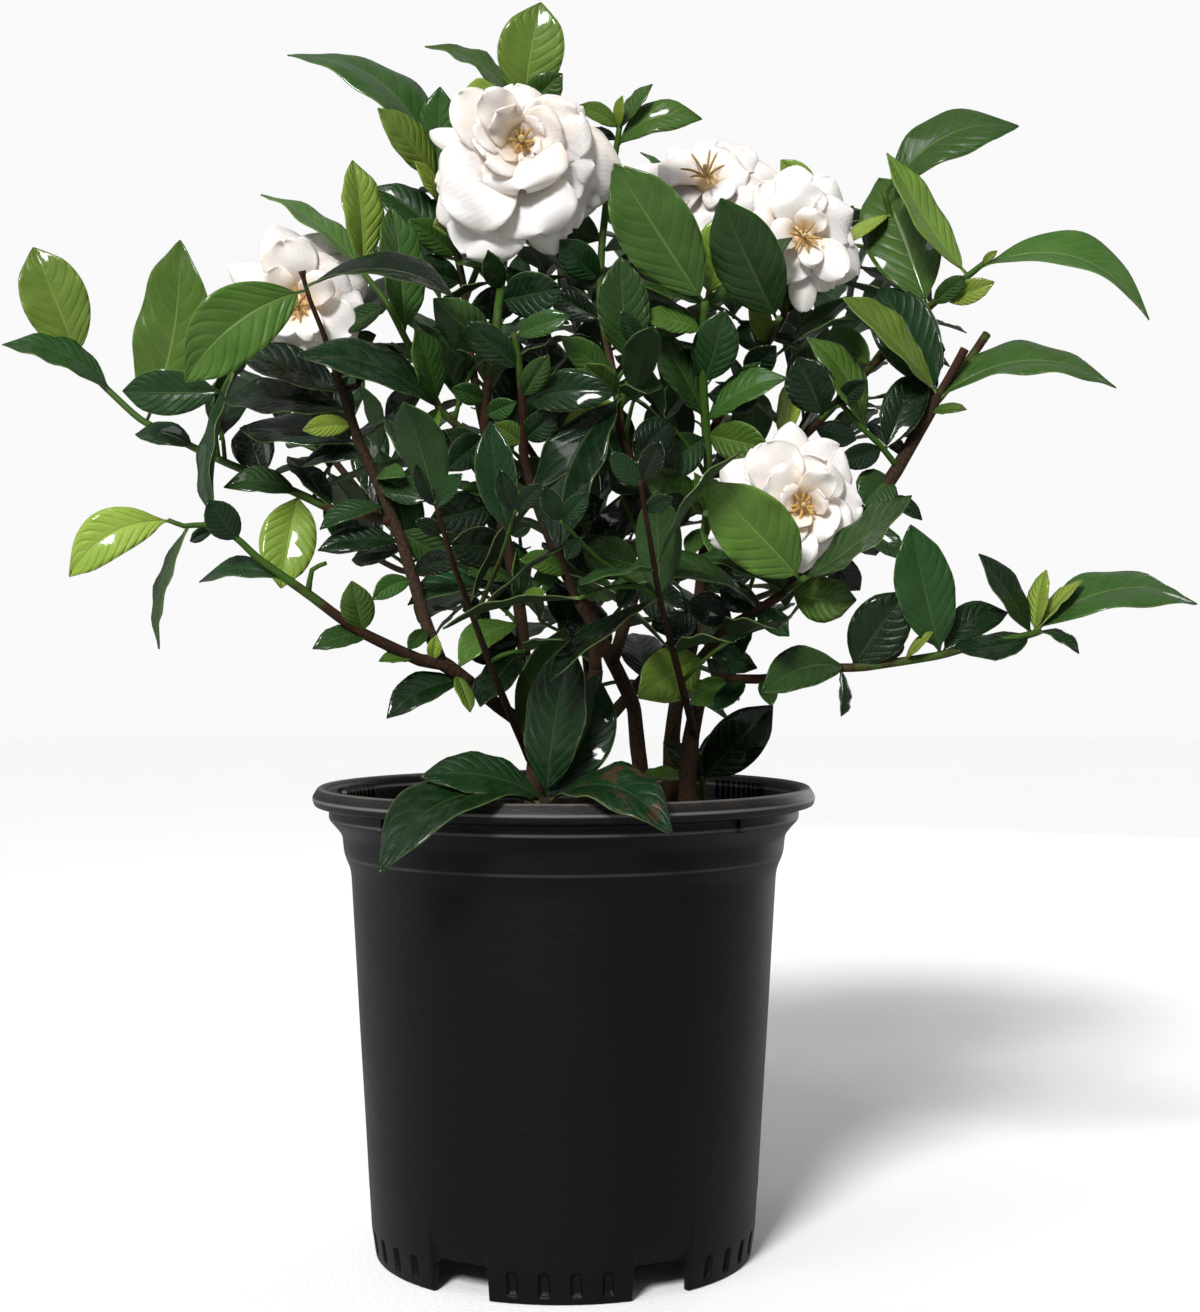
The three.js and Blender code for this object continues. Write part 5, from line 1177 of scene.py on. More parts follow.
@surface("stem bark", 0.0012, Specular_IOR_Level=0.12)
def stem_bark(tree, settings):
    stem = settings.stem
    blade, kind = tree.parts("blade"), tree.parts("kind")
    patch = tree.mottled(150.0, 1.0, 1400.0)
    grain = tree.grained(900.0, 5.0, 0.65)
    age = tree.plus(blade["Z"], tree.times(tree.minus(patch["Patch"], 0.5), 0.5))
    age = tree.plus(age, tree.times(kind["X"], 0.6))
    base = tree.ramp(tree.step(age, 1.0, 2.9), [
        (0.0, stem.green), (1.0, stem.brown), (0.30, stem.green), (0.55, stem.red)])
    cracked = tree.times(grain["Cracks"], tree.step(age, 2.2, 3.4, 0.1, 0.55))
    base = tree.mix(cracked, base, BARK_CRACK)
    pale = tree.times(patch["Speck"], tree.step(age, 2.0, 3.4, 0.02, 0.14))
    base = tree.mix(pale, base, BARK_SPECK)
    height = tree.times(grain["Grain"], tree.step(age, 1.4, 3.2, 0.25, 1.0))
    return base, tree.step(age, 1.4, 3.0, 0.42, 0.82), height


@surface(
    "petal skin", 0.00005, Subsurface_Weight=0.45, Subsurface_Radius=(0.9, 0.8, 0.6), Subsurface_Scale=0.004,
    Sheen_Weight=0.08)
def petal(tree, settings):
    bloom = settings.bloom
    blade, kind = tree.parts("blade"), tree.parts("kind")
    patch = tree.mottled(90.0, 1.0, 700.0)
    ribs = tree.plus(tree.times(blade["X"], 26.0), tree.times(patch["Patch"], 1.5))
    wave = tree.size(tree.math("SINE", ribs))
    root = tree.step(blade["Y"], 0.0, tree.step(kind["X"], 0.0, 1.0, 0.5, 1.1), 1.0, 0.0)
    inner = tree.step(kind["X"], 0.0, 0.9, 0.16, 0.9)
    base = tree.mix(tree.times(root, inner), bloom.petal, bloom.throat)
    # Painted shade: the petal is painted darker in the furrows between its ribs
    base = tree.mix(tree.times(tree.minus(1.0, wave), 0.06), base, PETAL_FURROW_SHADE)
    edge = tree.times(tree.step(tree.size(blade["X"]), 0.86, 1.0), patch["Patch"])
    base = tree.mix(tree.times(edge, 0.12), base, bloom.bruise)
    bruised = tree.times(kind["Z"], tree.step(patch["Patch"], 0.3, 0.9))
    return tree.mix(bruised, base, bloom.bruise), tree.scaled(patch["Speck"], 0.10, 0.46), wave


@surface("calyx", 0.0004)
def calyx_green(tree, settings):
    grain = tree.grained(700.0, 4.0, 0.5)["Grain"]
    return tree.mix(grain, settings.bloom.calyx, CALYX_DARK), 0.42, grain


@surface("anther", 0.0003)
def anther(tree, settings):
    speck = tree.mottled(500.0, 1.0, 2600.0)
    base = tree.mix(tree.times(speck["Patch"], 0.4), settings.bloom.stamen, ANTHER_DARK)
    base = tree.mix(tree.parts("kind")["X"], base, CLUB_PALE)
    return base, tree.scaled(speck["Speck"], 0.15, 0.55), speck["Speck"]


# Heights of the pot's moulded edges in millimetres and how strong a painted highlight each carries, and their
# width;
# and from and to what height in metres the top of the lip carries a painted highlight, and how strong
EDGE_HIGHLIGHTS = ((207.5, 0.36), (202.8, 0.50), (194.2, 0.28), (177.4, 0.12))
EDGE_HIGHLIGHT_WIDTH = 1.0
LIP_HEIGHTS = (0.1990, 0.2065)
LIP_HIGHLIGHT_STRENGTH = 0.06


@surface("moulded pot", 0.0002, IOR=1.46, Specular_IOR_Level=0.16)
def moulded_pot(tree, settings):
    pot = settings.pot
    patch = tree.mottled(26.0, 1.2, 1800.0)["Patch"]
    grain = tree.grained(1500.0, 1.0, 0.5)["Grain"]
    scuffs = tree.grained(60.0, 0.2, 0.7)["Grain"]
    base = tree.mix(tree.times(patch, 0.35), pot.plastic, PLASTIC_PATCH)
    base = tree.mix(tree.times(tree.step(scuffs, 0.62, 0.80), 0.03), base, PLASTIC_SCUFF)
    level = tree.split(tree.place())["Z"]
    # Painted highlight: the top of the lip is painted lighter
    base = tree.mix(tree.step(level, *LIP_HEIGHTS, 0.0, LIP_HIGHLIGHT_STRENGTH), base, LIP_HIGHLIGHT_COLOUR)
    # Painted highlight: a thin pale line along each moulded edge
    for height, highlight_strength in EDGE_HIGHLIGHTS:
        off = tree.size(tree.minus(level, height * MM))
        base = tree.mix(tree.step(off, 0.0, EDGE_HIGHLIGHT_WIDTH * MM, highlight_strength, 0.0), base, EDGE_HIGHLIGHT_COLOUR)
    film = tree.use(dust, Amount=0.40, Scale=90.0, Facing=0.35)["Mask"]
    roughness = tree.plus(tree.scaled(patch, 0.08, 0.36), tree.times(film, 0.4))
    return tree.mix(film, base, pot.dust), roughness, tree.plus(grain, tree.times(scuffs, 1.5))


@surface("peat and bark chips", 0.0015)
def soil_mix(tree, settings):
    soil = settings.soil
    patch = tree.mottled(190.0, 1.0, 900.0)
    grain = tree.grained(620.0, 1.0, 0.75)["Grain"]
    base = tree.mix(tree.times(patch["Patch"], 0.6), soil.peat, PEAT_DARK)
    chip = tree.times(tree.parts("kind")["X"], tree.step(grain, 0.2, 0.8, 0.45, 1.0))
    base = tree.mix(chip, base, soil.chip)
    base = tree.mix(tree.times(patch["Speck"], 0.16), base, SOIL_SPECK)
    return base, tree.scaled(grain, 0.15, 0.78), grain


@surface("studio floor", 0.0001)
def studio_floor(tree, settings):
    patch = tree.mottled(3.0, 0.6, 400.0)
    base = tree.mix(tree.times(patch["Patch"], 0.10), settings.stage.floor, FLOOR_PATCH)
    seen = tree.add("ShaderNodeLightPath").outputs["Is Camera Ray"]
    return tree.mix(seen, FLOOR_UNSEEN, base), 0.75, patch["Speck"]


def add_object(name, data, location=(0, 0, 0), rotation=(0, 0, 0)):
    """An object in the scene that holds a mesh, a lamp or the camera."""
    item = bpy.data.objects.new(name, data)
    item.location = location
    item.rotation_euler = rotation
    bpy.context.scene.collection.objects.link(item)
    return item


def place_piece(name, mesh, node, slot, *materials):
    """Puts a finished mesh into the scene as the piece that stands for a node."""
    for material in materials:
        mesh.materials.append(material)
    piece = add_object(name, mesh)
    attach(piece, "root")
    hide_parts(node)


def laid(amounts, direction):
    """So much along a direction, for each point of a grid."""
    return amounts[..., None] * direction


ACROSS = np.array([-1, -0.86, -0.68, -0.48, -0.28, -0.10, 0, 0.10, 0.28, 0.48, 0.68, 0.86, 1])
ACROSS_SMALL = np.array([-1, -0.74, -0.42, -0.12, 0, 0.12, 0.42, 0.74, 1])
SMALL_LEAF = 50.0
LEAF_ROW = 2.7
LEAF_ROWS = (11, 34)
STALK_HALF = 0.62
BLADE_EDGE = 0.15
CHANNEL_DEPTH = 0.30
RIB_HEIGHT = 0.45
QUILT_HEIGHT = 0.42
SPOTLESS = 0.8
YOUNGEST_TONE = 5


def add_leaf(skin, pose, tone, chance, leaf, spotted=False):
    """A leaf with its stalk, folded along the midrib, quilted between its side veins, with a wavy margin."""
    rows = int(min(max(pose.length / LEAF_ROW, LEAF_ROWS[0]), LEAF_ROWS[1]))
    even = np.linspace(0, 1, rows)
    t = 0.75 * even + 0.25 * (1 - np.cos(math.pi * even)) / 2
    a = ACROSS if pose.length > SMALL_LEAF else ACROSS_SMALL
    s = np.clip((t - PETIOLE_PART) / (1 - PETIOLE_PART), 0, 1)
    half = 0.5 * pose.broad * (4 * s * (1 - s)) ** 0.72 * (1 - 0.32 * smooth(s, 0.78, 1.0))
    half = np.maximum(half, np.where(t < 0.5, STALK_HALF, BLADE_EDGE))
    arch = 4 * t * (1 - t)
    side = np.cross(pose.along, pose.normal)
    sway = chance.between(-0.025, 0.025) * pose.length
    droop = chance.between(0.0, 0.035) * pose.length
    center = (
        pose.base + np.outer(t * pose.length, pose.along)
        + np.outer(LEAF_ARCH * pose.length * arch - droop * smooth(t, 0.72, 1.0) * t, pose.normal)
        + np.outer(pose.bow * arch, pose.upright) + np.outer(sway * arch, side))
    T, A = np.meshgrid(t, a, indexing="ij")
    wide = np.abs(A)
    H = half[:, None]
    fold = leaf.fold * chance.between(0.6, 1.5)
    waves, phase, lag = chance.between(2.2, 3.6), chance.turn(), chance.between(0.6, 2.4)
    wave = leaf.wave * chance.between(0.5, 1.5)
    swing = np.sin(2 * math.pi * waves * T + phase + np.where(A < 0, lag, 0))
    lift = fold * H * wide ** 1.25
    lift += wave * H * wide ** 2.2 * swing * smooth(T, 0.1, 0.35)
    count = leaf.vein_pairs * (T - VEIN_SWEEP * wide - VEIN_BEND * wide ** 2) + VEIN_SHIFT * np.sign(A)
    quilt = min(QUILT_HEIGHT, pose.broad * 0.016) * np.sin(math.pi * count) ** 2 * smooth(wide, 0.04, 0.35)
    lift += quilt * (1 - smooth(wide, 0.75, 1.0)) * smooth(T, 0.1, 0.25)
    curl = chance.between(-0.10, 0.16)
    lift -= curl * H * smooth(wide, 0.6, 1.0) * smooth(T, 0.25, 0.6)
    turn = chance.between(-0.16, 0.16) * (T - 0.35)
    out = laid(np.cos(turn), side) + laid(np.sin(turn), pose.normal)
    middle = center[:, None, :] + laid(A * H, out) + laid(lift, pose.normal)
    thin = leaf.thickness / MM / 2
    stalk = 1 - smooth(T, 0.5 * PETIOLE_PART, 1.7 * PETIOLE_PART)
    thick = thin + (STALK_HALF - thin) * stalk
    ridge = np.where(wide < 0.05, 1.0, 0.0) * (1 - stalk) * (1 - 0.7 * T)
    # The tone carries painted shade and light as well as the leaf's age
    age = min(max((tone + chance.between(-0.5, 0.5)) / YOUNGEST_TONE, 0), 1)
    kind = (age, 1.0 if spotted else SPOTLESS * chance.part(), pose.length)
    above, below = thick - CHANNEL_DEPTH * ridge, thick + RIB_HEIGHT * ridge
    add_sheet(skin, middle, above, below, pose.normal, stacked(A, T, H), kind, (1, 2))


def settled(points, make_pose):
    """The pose that a solid leaf took, at one of the depth steps: its tip is a point of the solid."""
    for step in DEPTH_STEPS:
        pose = make_pose(step)
        if np.min(np.sum((points - pose.tip) ** 2, axis=1)) < SAME_PLACE ** 2:
            return pose
    return None


def solid_points(node):
    """The points of a node's solid, in millimetres."""
    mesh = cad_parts[node].data
    points = np.empty(len(mesh.vertices) * 3, np.float32)
    mesh.vertices.foreach_get("co", points)
    return points.reshape(-1, 3).astype(float) / MM


def hand_leaves(node, twigs):
    """The leaves that are set one by one: each with its pose and tone, and whether it is spotted."""
    points = solid_points(node)
    leaves = []
    for index, (column, line, *tip, behind, width, tone, bow) in enumerate(LEAVES.get(node, [])):
        seat = seat_of(twigs, column, line, SEAT_INSETS[index % len(SEAT_INSETS)])

        def posed(step):
            return leaf_pose(seat, spot(*tip, seat.depth + behind + step), width, bow)

        leaves.append((settled(points, posed) or posed(0), tone, (node, index) in SPOTTED))
    for column, line, *tip, behind, width, tone, bow in SMALL_LEAVES.get(node, []):
        seat = seat_of(twigs, column, line, SEAT_INSETS[0])
        leaves.append((leaf_pose(seat, spot(*tip, seat.depth + behind), width, bow), tone, False))
    return leaves


RULE_SPRAYS = ("spray_back_left", "spray_back_middle", "spray_back_right", "spray_back_far",
               "spray_front_left", "spray_front_right")


def grown_leaves(node, twigs, order):
    """The leaves that a rule sets in pairs along the twigs, as far as the solid has them."""
    points = solid_points(node)
    chance = Chance(TONE_SEED + order)
    leaves = []
    for base, tip, broad in rule_leaves(twigs, RULE_SEED + order):
        seen = view_of(tip)
        pose = settled(points, lambda step: rule_pose(base, spot(*seen, tip[1] + step), broad))
        if pose:
            leaves.append((pose, chance.between(*RULE_TONES), False))
    return leaves


# Short side twigs that fill the bush between its long stems: millimetres, and radians for turns and leans
FILL_STEP = 27.0
FILL_TURN = 2.4
FILL_LIFT = 0.25
FILL_START = 6.0
FILL_TWIG = (26.0, 52.0)
FILL_LEANS = (0.75, 1.35)
FILL_LEAVES = (30.0, 58.0)
FILL_RATIOS = (0.38, 0.50)
FILL_END_RATIOS = (0.38, 0.48)
FILL_FIRST_PAIR = (7, 12)
FILL_PAIR_STEP = 17.0
FILL_PAIR_TURN = 1.4
FILL_PAIR_LEANS = (0.7, 1.15)
FILL_REACH = 158.0
FILL_FLOOR = 215.0
FILL_TWIG_SIDES = 7
FILL_TWIG_ROW = 6
# Their leaves' tones, low for older leaves and for painted shade inside the bush, and how much younger they
# grow from one height to as far again above it
FILL_TONES = (-0.3, 1.2)
YOUNGER = 1.6
YOUNGER_FROM = 300.0
YOUNGER_OVER = 300.0

# How a leaf's room is tried: its low form's stations, which of its points may be in the way, how many of them
# may hide something, the line of sight behind each, and how close two leaves' boxes may come
LEAF_STATIONS = (0.3, 0.52, 0.75)
MIDDLE_POINT = 5
SIGHT_POINTS = [2, 4, 5, 6, 8, 10]
HIDDEN_LIMIT = 1
SIGHT_START = 2.0
SIGHT_END = 900.0
BOX_MARGIN = 1


def low_leaf(pose):
    """A leaf as a few flat faces, to try its room with."""
    side = np.cross(pose.along, pose.normal)
    points = [pose.base + pose.along * pose.length * 0.12]
    for t in LEAF_STATIONS:
        middle = pose.base + pose.along * pose.length * t + pose.normal * 0.2 * pose.length * t * (1 - t)
        half = 0.5 * pose.broad * (4 * t * (1 - t)) ** 0.7
        rise = pose.normal * 0.16 * half
        points += [middle - side * half + rise, middle, middle + side * half + rise]
    faces = [(0, 2, 1), (0, 3, 2), (7, 8, 10), (8, 9, 10)]
    for k in (1, 4):
        faces += [(k, k + 1, k + 4, k + 3), (k + 1, k + 2, k + 5, k + 4)]
    return np.array(points + [pose.tip]), faces


def solid_tree(nodes):
    """The faces of some solids, to try other faces and lines of sight against."""
    points, faces = [], []
    for node in nodes:
        start = len(points)
        points += solid_points(node).tolist()
        faces += [tuple(start + i for i in face.vertices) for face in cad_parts[node].data.polygons]
    return BVHTree.FromPolygons(points, faces)


class Room:
    """What stands in the bush already: the solids, and the leaves that were added to them."""

    def __init__(self):
        self.solids = solid_tree(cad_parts)
        self.front = solid_tree([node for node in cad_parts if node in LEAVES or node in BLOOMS])
        self.added = []

    def hides(self, point):
        """Whether something at a point would hide a leaf or a bloom that is set one by one."""
        way = unit(point - EYE)
        return self.front.ray_cast(Vector(point + way * SIGHT_START), Vector(way), SIGHT_END)[0] is not None

    def takes(self, pose):
        """Adds a leaf where it is clear of everything and hides nothing that matters."""
        points, faces = low_leaf(pose)
        middle, tip = points[MIDDLE_POINT], points[-1]
        if not (inside_bush(*view_of(tip)) and inside_bush(*view_of(middle))):
            return False
        if max(abs(tip[1]), abs(middle[1])) > FILL_REACH or min(tip[2], middle[2]) < FILL_FLOOR:
            return False
        if sum(self.hides(point) for point in points[SIGHT_POINTS]) > HIDDEN_LIMIT:
            return False
        low, high = points.min(0) - BOX_MARGIN, points.max(0) + BOX_MARGIN
        tree = BVHTree.FromPolygons(points.tolist(), faces)
        if tree.overlap(self.solids):
            return False
        for other_low, other_high, other in self.added:
            if (low < other_high).all() and (high > other_low).all() and tree.overlap(other):
                return False
        self.added.append((low, high, tree))
        return True


def fill_twigs(twigs, chance):
    """Places along the stems where a short side twig may leave them: its root, direction and length."""
    places = []
    for rows in twigs:
        walked, turn = chance.between(FILL_START, FILL_STEP), chance.turn()
        for start, along, tangent, u, v in walk(rows, walked, FILL_STEP):
            turn += FILL_TURN
            way = turned(tangent, turned(u, v, turn), chance.between(*FILL_LEANS))
            way = unit(way + UP * FILL_LIFT)
            places.append((start + tangent * along, way, chance.between(*FILL_TWIG)))
    return places


def fill_leaves(skin, room, twigs, chance, leaf):
    """Side twigs with pairs of leaves, wherever the bush has room for them."""
    for root, way, length in fill_twigs(twigs, chance):
        u, v = directions_across(way)
        turn = chance.turn()
        reached = 0.0
        poses = []
        walked = chance.between(*FILL_FIRST_PAIR)
        while walked < length:
            turn += FILL_PAIR_TURN
            for half in (0, math.pi):
                along = turned(way, turned(u, v, turn + half), chance.between(*FILL_PAIR_LEANS))
                size = chance.between(*FILL_LEAVES)
                base = root + way * walked
                pose = rule_pose(base, base + along * size, chance.between(*FILL_RATIOS) * size)
                if room.takes(pose):
                    poses.append(pose)
                    reached = walked
            walked += FILL_PAIR_STEP
        size = chance.between(*FILL_LEAVES)
        end = root + way * length
        pose = rule_pose(end, root + way * (length + size), chance.between(*FILL_END_RATIOS) * size)
        if room.takes(pose):
            poses.append(pose)
            reached = length
        if not poses:
            continue
        t = np.linspace(0, 1, max(int(reached / FILL_TWIG_ROW), 3))
        path = root + np.outer(t * (reached + 1.0), way) + np.outer(0.05 * reached * np.sin(math.pi * t), v)
        kind = (chance.part() - 0.4, 0.0, 0.0)
        add_tube(skin, path, 1.15 - 0.35 * t, FILL_TWIG_SIDES, kind, 0)
        for pose in poses:
            height = (pose.tip[2] - YOUNGER_FROM) / YOUNGER_OVER
            tone = chance.between(*FILL_TONES) + YOUNGER * max(height, 0)
            add_leaf(skin, pose, tone, chance, leaf)


TWIG_SIDES = 10
TWIG_STEP = 4.0
TWIG_RELIEF = 0.6
TRUNK_SIDES = 18
TRUNK_STEP = 3.0


def add_stems(skin, limbs, sides, chance, relief, step, age=0.0):
    """Stems along their limbs' points, with an uneven skin."""
    for rows in limbs:
        path, radii = rounded_path(rows, step)
        swell = bumpy(path, sides, chance, relief)
        add_tube(skin, path, radii, sides, (chance.part() - 0.5 + age, 0.0, 0.0), 0, swell)


class GARDENIA_OT_stems(Operator):
    """Grows the bare woody stems with their bark"""
    bl_idname = "gardenia.stems"
    bl_label = "Woody stems"

    def execute(self, context):
        settings = context.scene.gardenia
        for order, (node, limbs) in enumerate(TRUNKS.items()):
            skin = Skin()
            chance = Chance(TRUNK_SEED + order)
            add_stems(skin, limbs, TRUNK_SIDES, chance, settings.stem.relief, TRUNK_STEP)
            name = node + "_bark"
            place_piece(name, skin.mesh(name), node, "bark", stem_bark(settings))
        return {"FINISHED"}


class GARDENIA_OT_sprays(Operator):
    """Grows every leafy stem with its leaves"""
    bl_idname = "gardenia.sprays"
    bl_label = "Leafy stems"

    def execute(self, context):
        settings = context.scene.gardenia
        materials = [stem_bark(settings), leaf_upper(settings), leaf_under(settings)]
        relief = settings.stem.relief * TWIG_RELIEF
        room = Room()
        for order, (node, twigs) in enumerate(TWIGS.items()):
            chance = Chance(TWIG_SEED + order)
            skin = Skin()
            add_stems(skin, twigs, TWIG_SIDES, chance, relief, TWIG_STEP, STEM_AGES.get(node, 0.0))
            leaves = hand_leaves(node, twigs)
            if node in RULE_SPRAYS:
                leaves += grown_leaves(node, twigs, order)
            for pose, tone, spotted in leaves:
                add_leaf(skin, pose, tone, chance, settings.leaf, spotted)
            fill_leaves(skin, room, twigs, Chance(FILL_SEED + order), settings.leaf)
            name = node + "_leaves"
            place_piece(name, skin.mesh(name), node, "leaf", *materials)
        return {"FINISHED"}


BloomFrame = namedtuple("BloomFrame", "base axis u v radius throat")
BLOOM_GAP = 0.6
PETAL_ROOT = 0.09
PETAL_ACROSS = np.array([-1, -0.9, -0.72, -0.48, -0.22, 0, 0.22, 0.48, 0.72, 0.9, 1])
PETAL_ROWS = 16
OUTER_RUFFLE = 0.6
SEPAL_COUNT = 6
SEPAL_ACROSS = np.array([-1, -0.5, 0, 0.5, 1])
SEPAL_HALF = 0.35
CALYX_SIDES = 14
CORE_SIDES = 18


def bloom_frame(node):
    """Where a bloom stands, and the directions that its petals are set by."""
    base, target, radius = BLOOMS[node]
    start = spot(*base)
    axis = unit(spot(*target) - start)
    u, v = directions_across(axis)
    across, upward = THROATS.get(node, (0.0, 0.0))
    throat = (u * across + v * upward) * radius
    return BloomFrame(start + axis * BLOOM_GAP, axis, u, v, radius, throat)


def inner_petals(node, chance):
    """Rows like those set one by one, for the inner petals that go by rule."""
    rows = []
    for count, reach, width, whorl in INNER_PETALS.get(node, ()):
        first = chance.between(0, 360)
        for k in range(count):
            turn = first + 360 * k / count + chance.between(-14, 14)
            rows.append((turn, reach * chance.between(0.88, 1.14), width * chance.between(0.8, 1.2), whorl))
    return rows


def add_petal(skin, bloom, row, chance, settings, order):
    """A thick petal with a round tip, cupped over the next whorl, its edges rolled and ruffled."""
    turn, reach, width, whorl = row
    start, lean_root, lean_tip, cup, dome = WHORLS[whorl]
    out = turned(bloom.u, bloom.v, math.radians(turn + chance.between(-4, 4)))
    side = np.cross(bloom.axis, out)
    t = np.sin(np.linspace(0, 1, PETAL_ROWS) * math.pi / 2) ** 1.15
    lean_tip += chance.between(-14, 16)
    lean_root += chance.between(-6, 6)
    lean = np.radians(lean_root + (lean_tip - lean_root) * smooth(t, 0.15, 1.0))
    length = (reach - PETAL_ROOT) * bloom.radius / max(np.mean(np.sin(lean)), 0.3)
    along = np.outer(np.cos(lean), bloom.axis) + np.outer(np.sin(lean), out)
    face = np.outer(np.sin(lean), bloom.axis) - np.outer(np.cos(lean), out)
    steps = np.diff(t, prepend=0) * length
    root = bloom.base + bloom.axis * (start * bloom.radius + 0.35 * order) + out * PETAL_ROOT * bloom.radius
    if whorl > 1:
        root = root + bloom.throat
    center = root + np.cumsum(along * steps[:, None], axis=0)
    full = 0.5 * width * bloom.radius
    half = full * (0.26 + 0.74 * smooth(t, 0.0, 0.62))
    blunt = (np.clip(t - 0.60, 0, 1) / 0.402) ** chance.between(1.7, 2.8)
    half = np.maximum(half * np.sqrt(np.clip(1 - blunt, 0.0, 1)), 0.25)
    T, A = np.meshgrid(t, PETAL_ACROSS, indexing="ij")
    wide = np.abs(A)
    H = half[:, None]
    skew_way = chance.between(-1, 1)
    skew = 0.10 * skew_way * full
    tilt = chance.between(0.08, 0.20)
    opened = smooth(T, 0.3, 0.9)
    lift = H * (cup * chance.between(0.7, 1.4) * wide ** 1.8 * (1 - opened) + tilt * A)
    lift -= H * dome * chance.between(0.6, 1.5) * wide ** 2 * opened
    roll = chance.between(-0.02, 0.20)
    lift -= roll * full * smooth(wide, 0.55, 1.0) ** 2 * smooth(T, 0.4, 0.95)
    waves, phase, lag = chance.between(1.2, 2.4), chance.turn(), chance.between(1, 5)
    ruffle = settings.ruffle * (OUTER_RUFFLE if whorl == 0 else 1.0) * full
    swing = np.sin(6.28 * waves * T + phase + np.where(A < 0, lag, 0))
    lift += ruffle * swing * wide ** 2 * smooth(T, 0.25, 0.7)
    lift += 0.07 * full * np.sin(3.4 * A + 5.0 * T + phase) * smooth(T, 0.3, 1.0)
    lift += 0.035 * full * np.sin(6.5 * A * skew_way - 9.0 * T + 2 * phase) * smooth(T, 0.25, 0.9)
    notch = chance.between(-0.05, 0.10) * full * (1 - wide) * smooth(T, 0.85, 1.0)
    middle = (
        center[:, None, :] + laid(A * H + skew * T ** 2, side)
        + laid(lift, face[:, None, :]) - laid(notch, along[:, None, :]))
    thick = settings.thickness / MM / 2 * (1 + 0.8 * (1 - smooth(T, 0.0, 0.5)) * (1 - wide))
    kind = (whorl / 3, chance.part(), max(chance.between(-0.5, 0.4), 0))
    add_sheet(skin, middle, thick, thick, bloom.axis, stacked(A * H / full, T, full), kind, (0, 0))


def add_calyx(skin, bloom, chance):
    """The green cup under a bloom with its narrow sepals, and the core that the inner petals stand on."""
    radius, t = bloom.radius, np.linspace(0, 1, 9)
    path = bloom.base + np.outer(t * 0.26 * radius, bloom.axis)
    radii = (0.055 + 0.10 * np.sin(t * math.pi * 0.8) ** 1.3) * radius
    add_tube(skin, path, radii, CALYX_SIDES, (0, 0, 0), 1, bumpy(path, CALYX_SIDES, chance, 0.06))
    path = bloom.base + bloom.throat + np.outer(t * 0.22 + 0.14, bloom.axis) * radius
    radii = 0.19 * radius * np.sqrt(np.clip(1.0 - 0.8 * t ** 3, 0.05, 1))
    swell = bumpy(path, CORE_SIDES, chance, 0.08)
    add_tube(skin, path, radii, CORE_SIDES, (1.0, 0.5, 0), 0, swell, along=0.0)
    for k in range(SEPAL_COUNT):
        out = turned(bloom.u, bloom.v, k * math.pi / 3 + chance.between(-0.2, 0.2))
        side = np.cross(bloom.axis, out)
        length = chance.between(0.34, 0.46) * radius
        center = (
            bloom.base + bloom.axis * 0.10 * radius + np.outer(0.08 * radius + t * length, out)
            + np.outer(-0.10 * length * t ** 2, bloom.axis))
        half = (0.055 * radius * (1 - t) ** 0.6 + 0.25)[:, None]
        T, A = np.meshgrid(t, SEPAL_ACROSS, indexing="ij")
        middle = center[:, None, :] + laid(A * half, side) + laid(half * 0.3 * A ** 2, bloom.axis)
        thick = np.full(A.shape, SEPAL_HALF)
        add_sheet(skin, middle, thick, thick, bloom.axis, stacked(A, T, 1.0), (0, 0, 0), (1, 1))


class GARDENIA_OT_blooms(Operator):
    """Opens every bloom with its petals and calyx"""
    bl_idname = "gardenia.blooms"
    bl_label = "Blooms"

    def execute(self, context):
        settings = context.scene.gardenia
        for order, node in enumerate(BLOOMS):
            chance = Chance(BLOOM_SEED + order)
            bloom = bloom_frame(node)
            skin = Skin()
            places = [0] * len(WHORLS)
            for row in PETALS[node] + inner_petals(node, chance):
                whorl = row[-1]
                add_petal(skin, bloom, row, chance, settings.bloom, (places[whorl] * 5) % 7)
                places[whorl] += 1
            add_calyx(skin, bloom, chance)
            name = node + "_petals"
            place_piece(name, skin.mesh(name), node, "petal", petal(settings), calyx_green(settings))
        return {"FINISHED"}


ANTHER_COUNT = 8
ANTHER_ROWS = 10
ANTHER_SIDES = 8
ANTHER_SCALE = {"bloom_top": 1.15, "bloom_main": 0.45, "bloom_lower_right": 0.5}
OTHER_ANTHERS = 0.75
CLUB_ROWS = 12
CLUB_SIDES = 12


def add_anther(skin, bloom, foot, turn, scale, chance):
    """A long anther that bends outwards from the throat."""
    out = turned(bloom.u, bloom.v, turn + chance.between(-0.25, 0.25))
    length = chance.between(0.30, 0.40) * bloom.radius * scale
    s = np.linspace(0, 1, ANTHER_ROWS)
    lean = 0.5 + chance.between(0.35, 0.85) * s
    along = np.outer(np.cos(lean), bloom.axis) + np.outer(np.sin(lean), out)
    root = foot + bloom.axis * 0.03 * bloom.radius + out * 0.03 * bloom.radius
    path = root + np.cumsum(along * (length / (ANTHER_ROWS - 1)) * (s > 0)[:, None], axis=0)
    radii = 0.019 * bloom.radius * np.sqrt(np.clip(1.02 - (2 * s - 1) ** 4, 0.05, 1))
    kind = (0.0, chance.part(), 0)
    add_tube(skin, path, radii, ANTHER_SIDES, kind, 0, bumpy(path, ANTHER_SIDES, chance, 0.10))


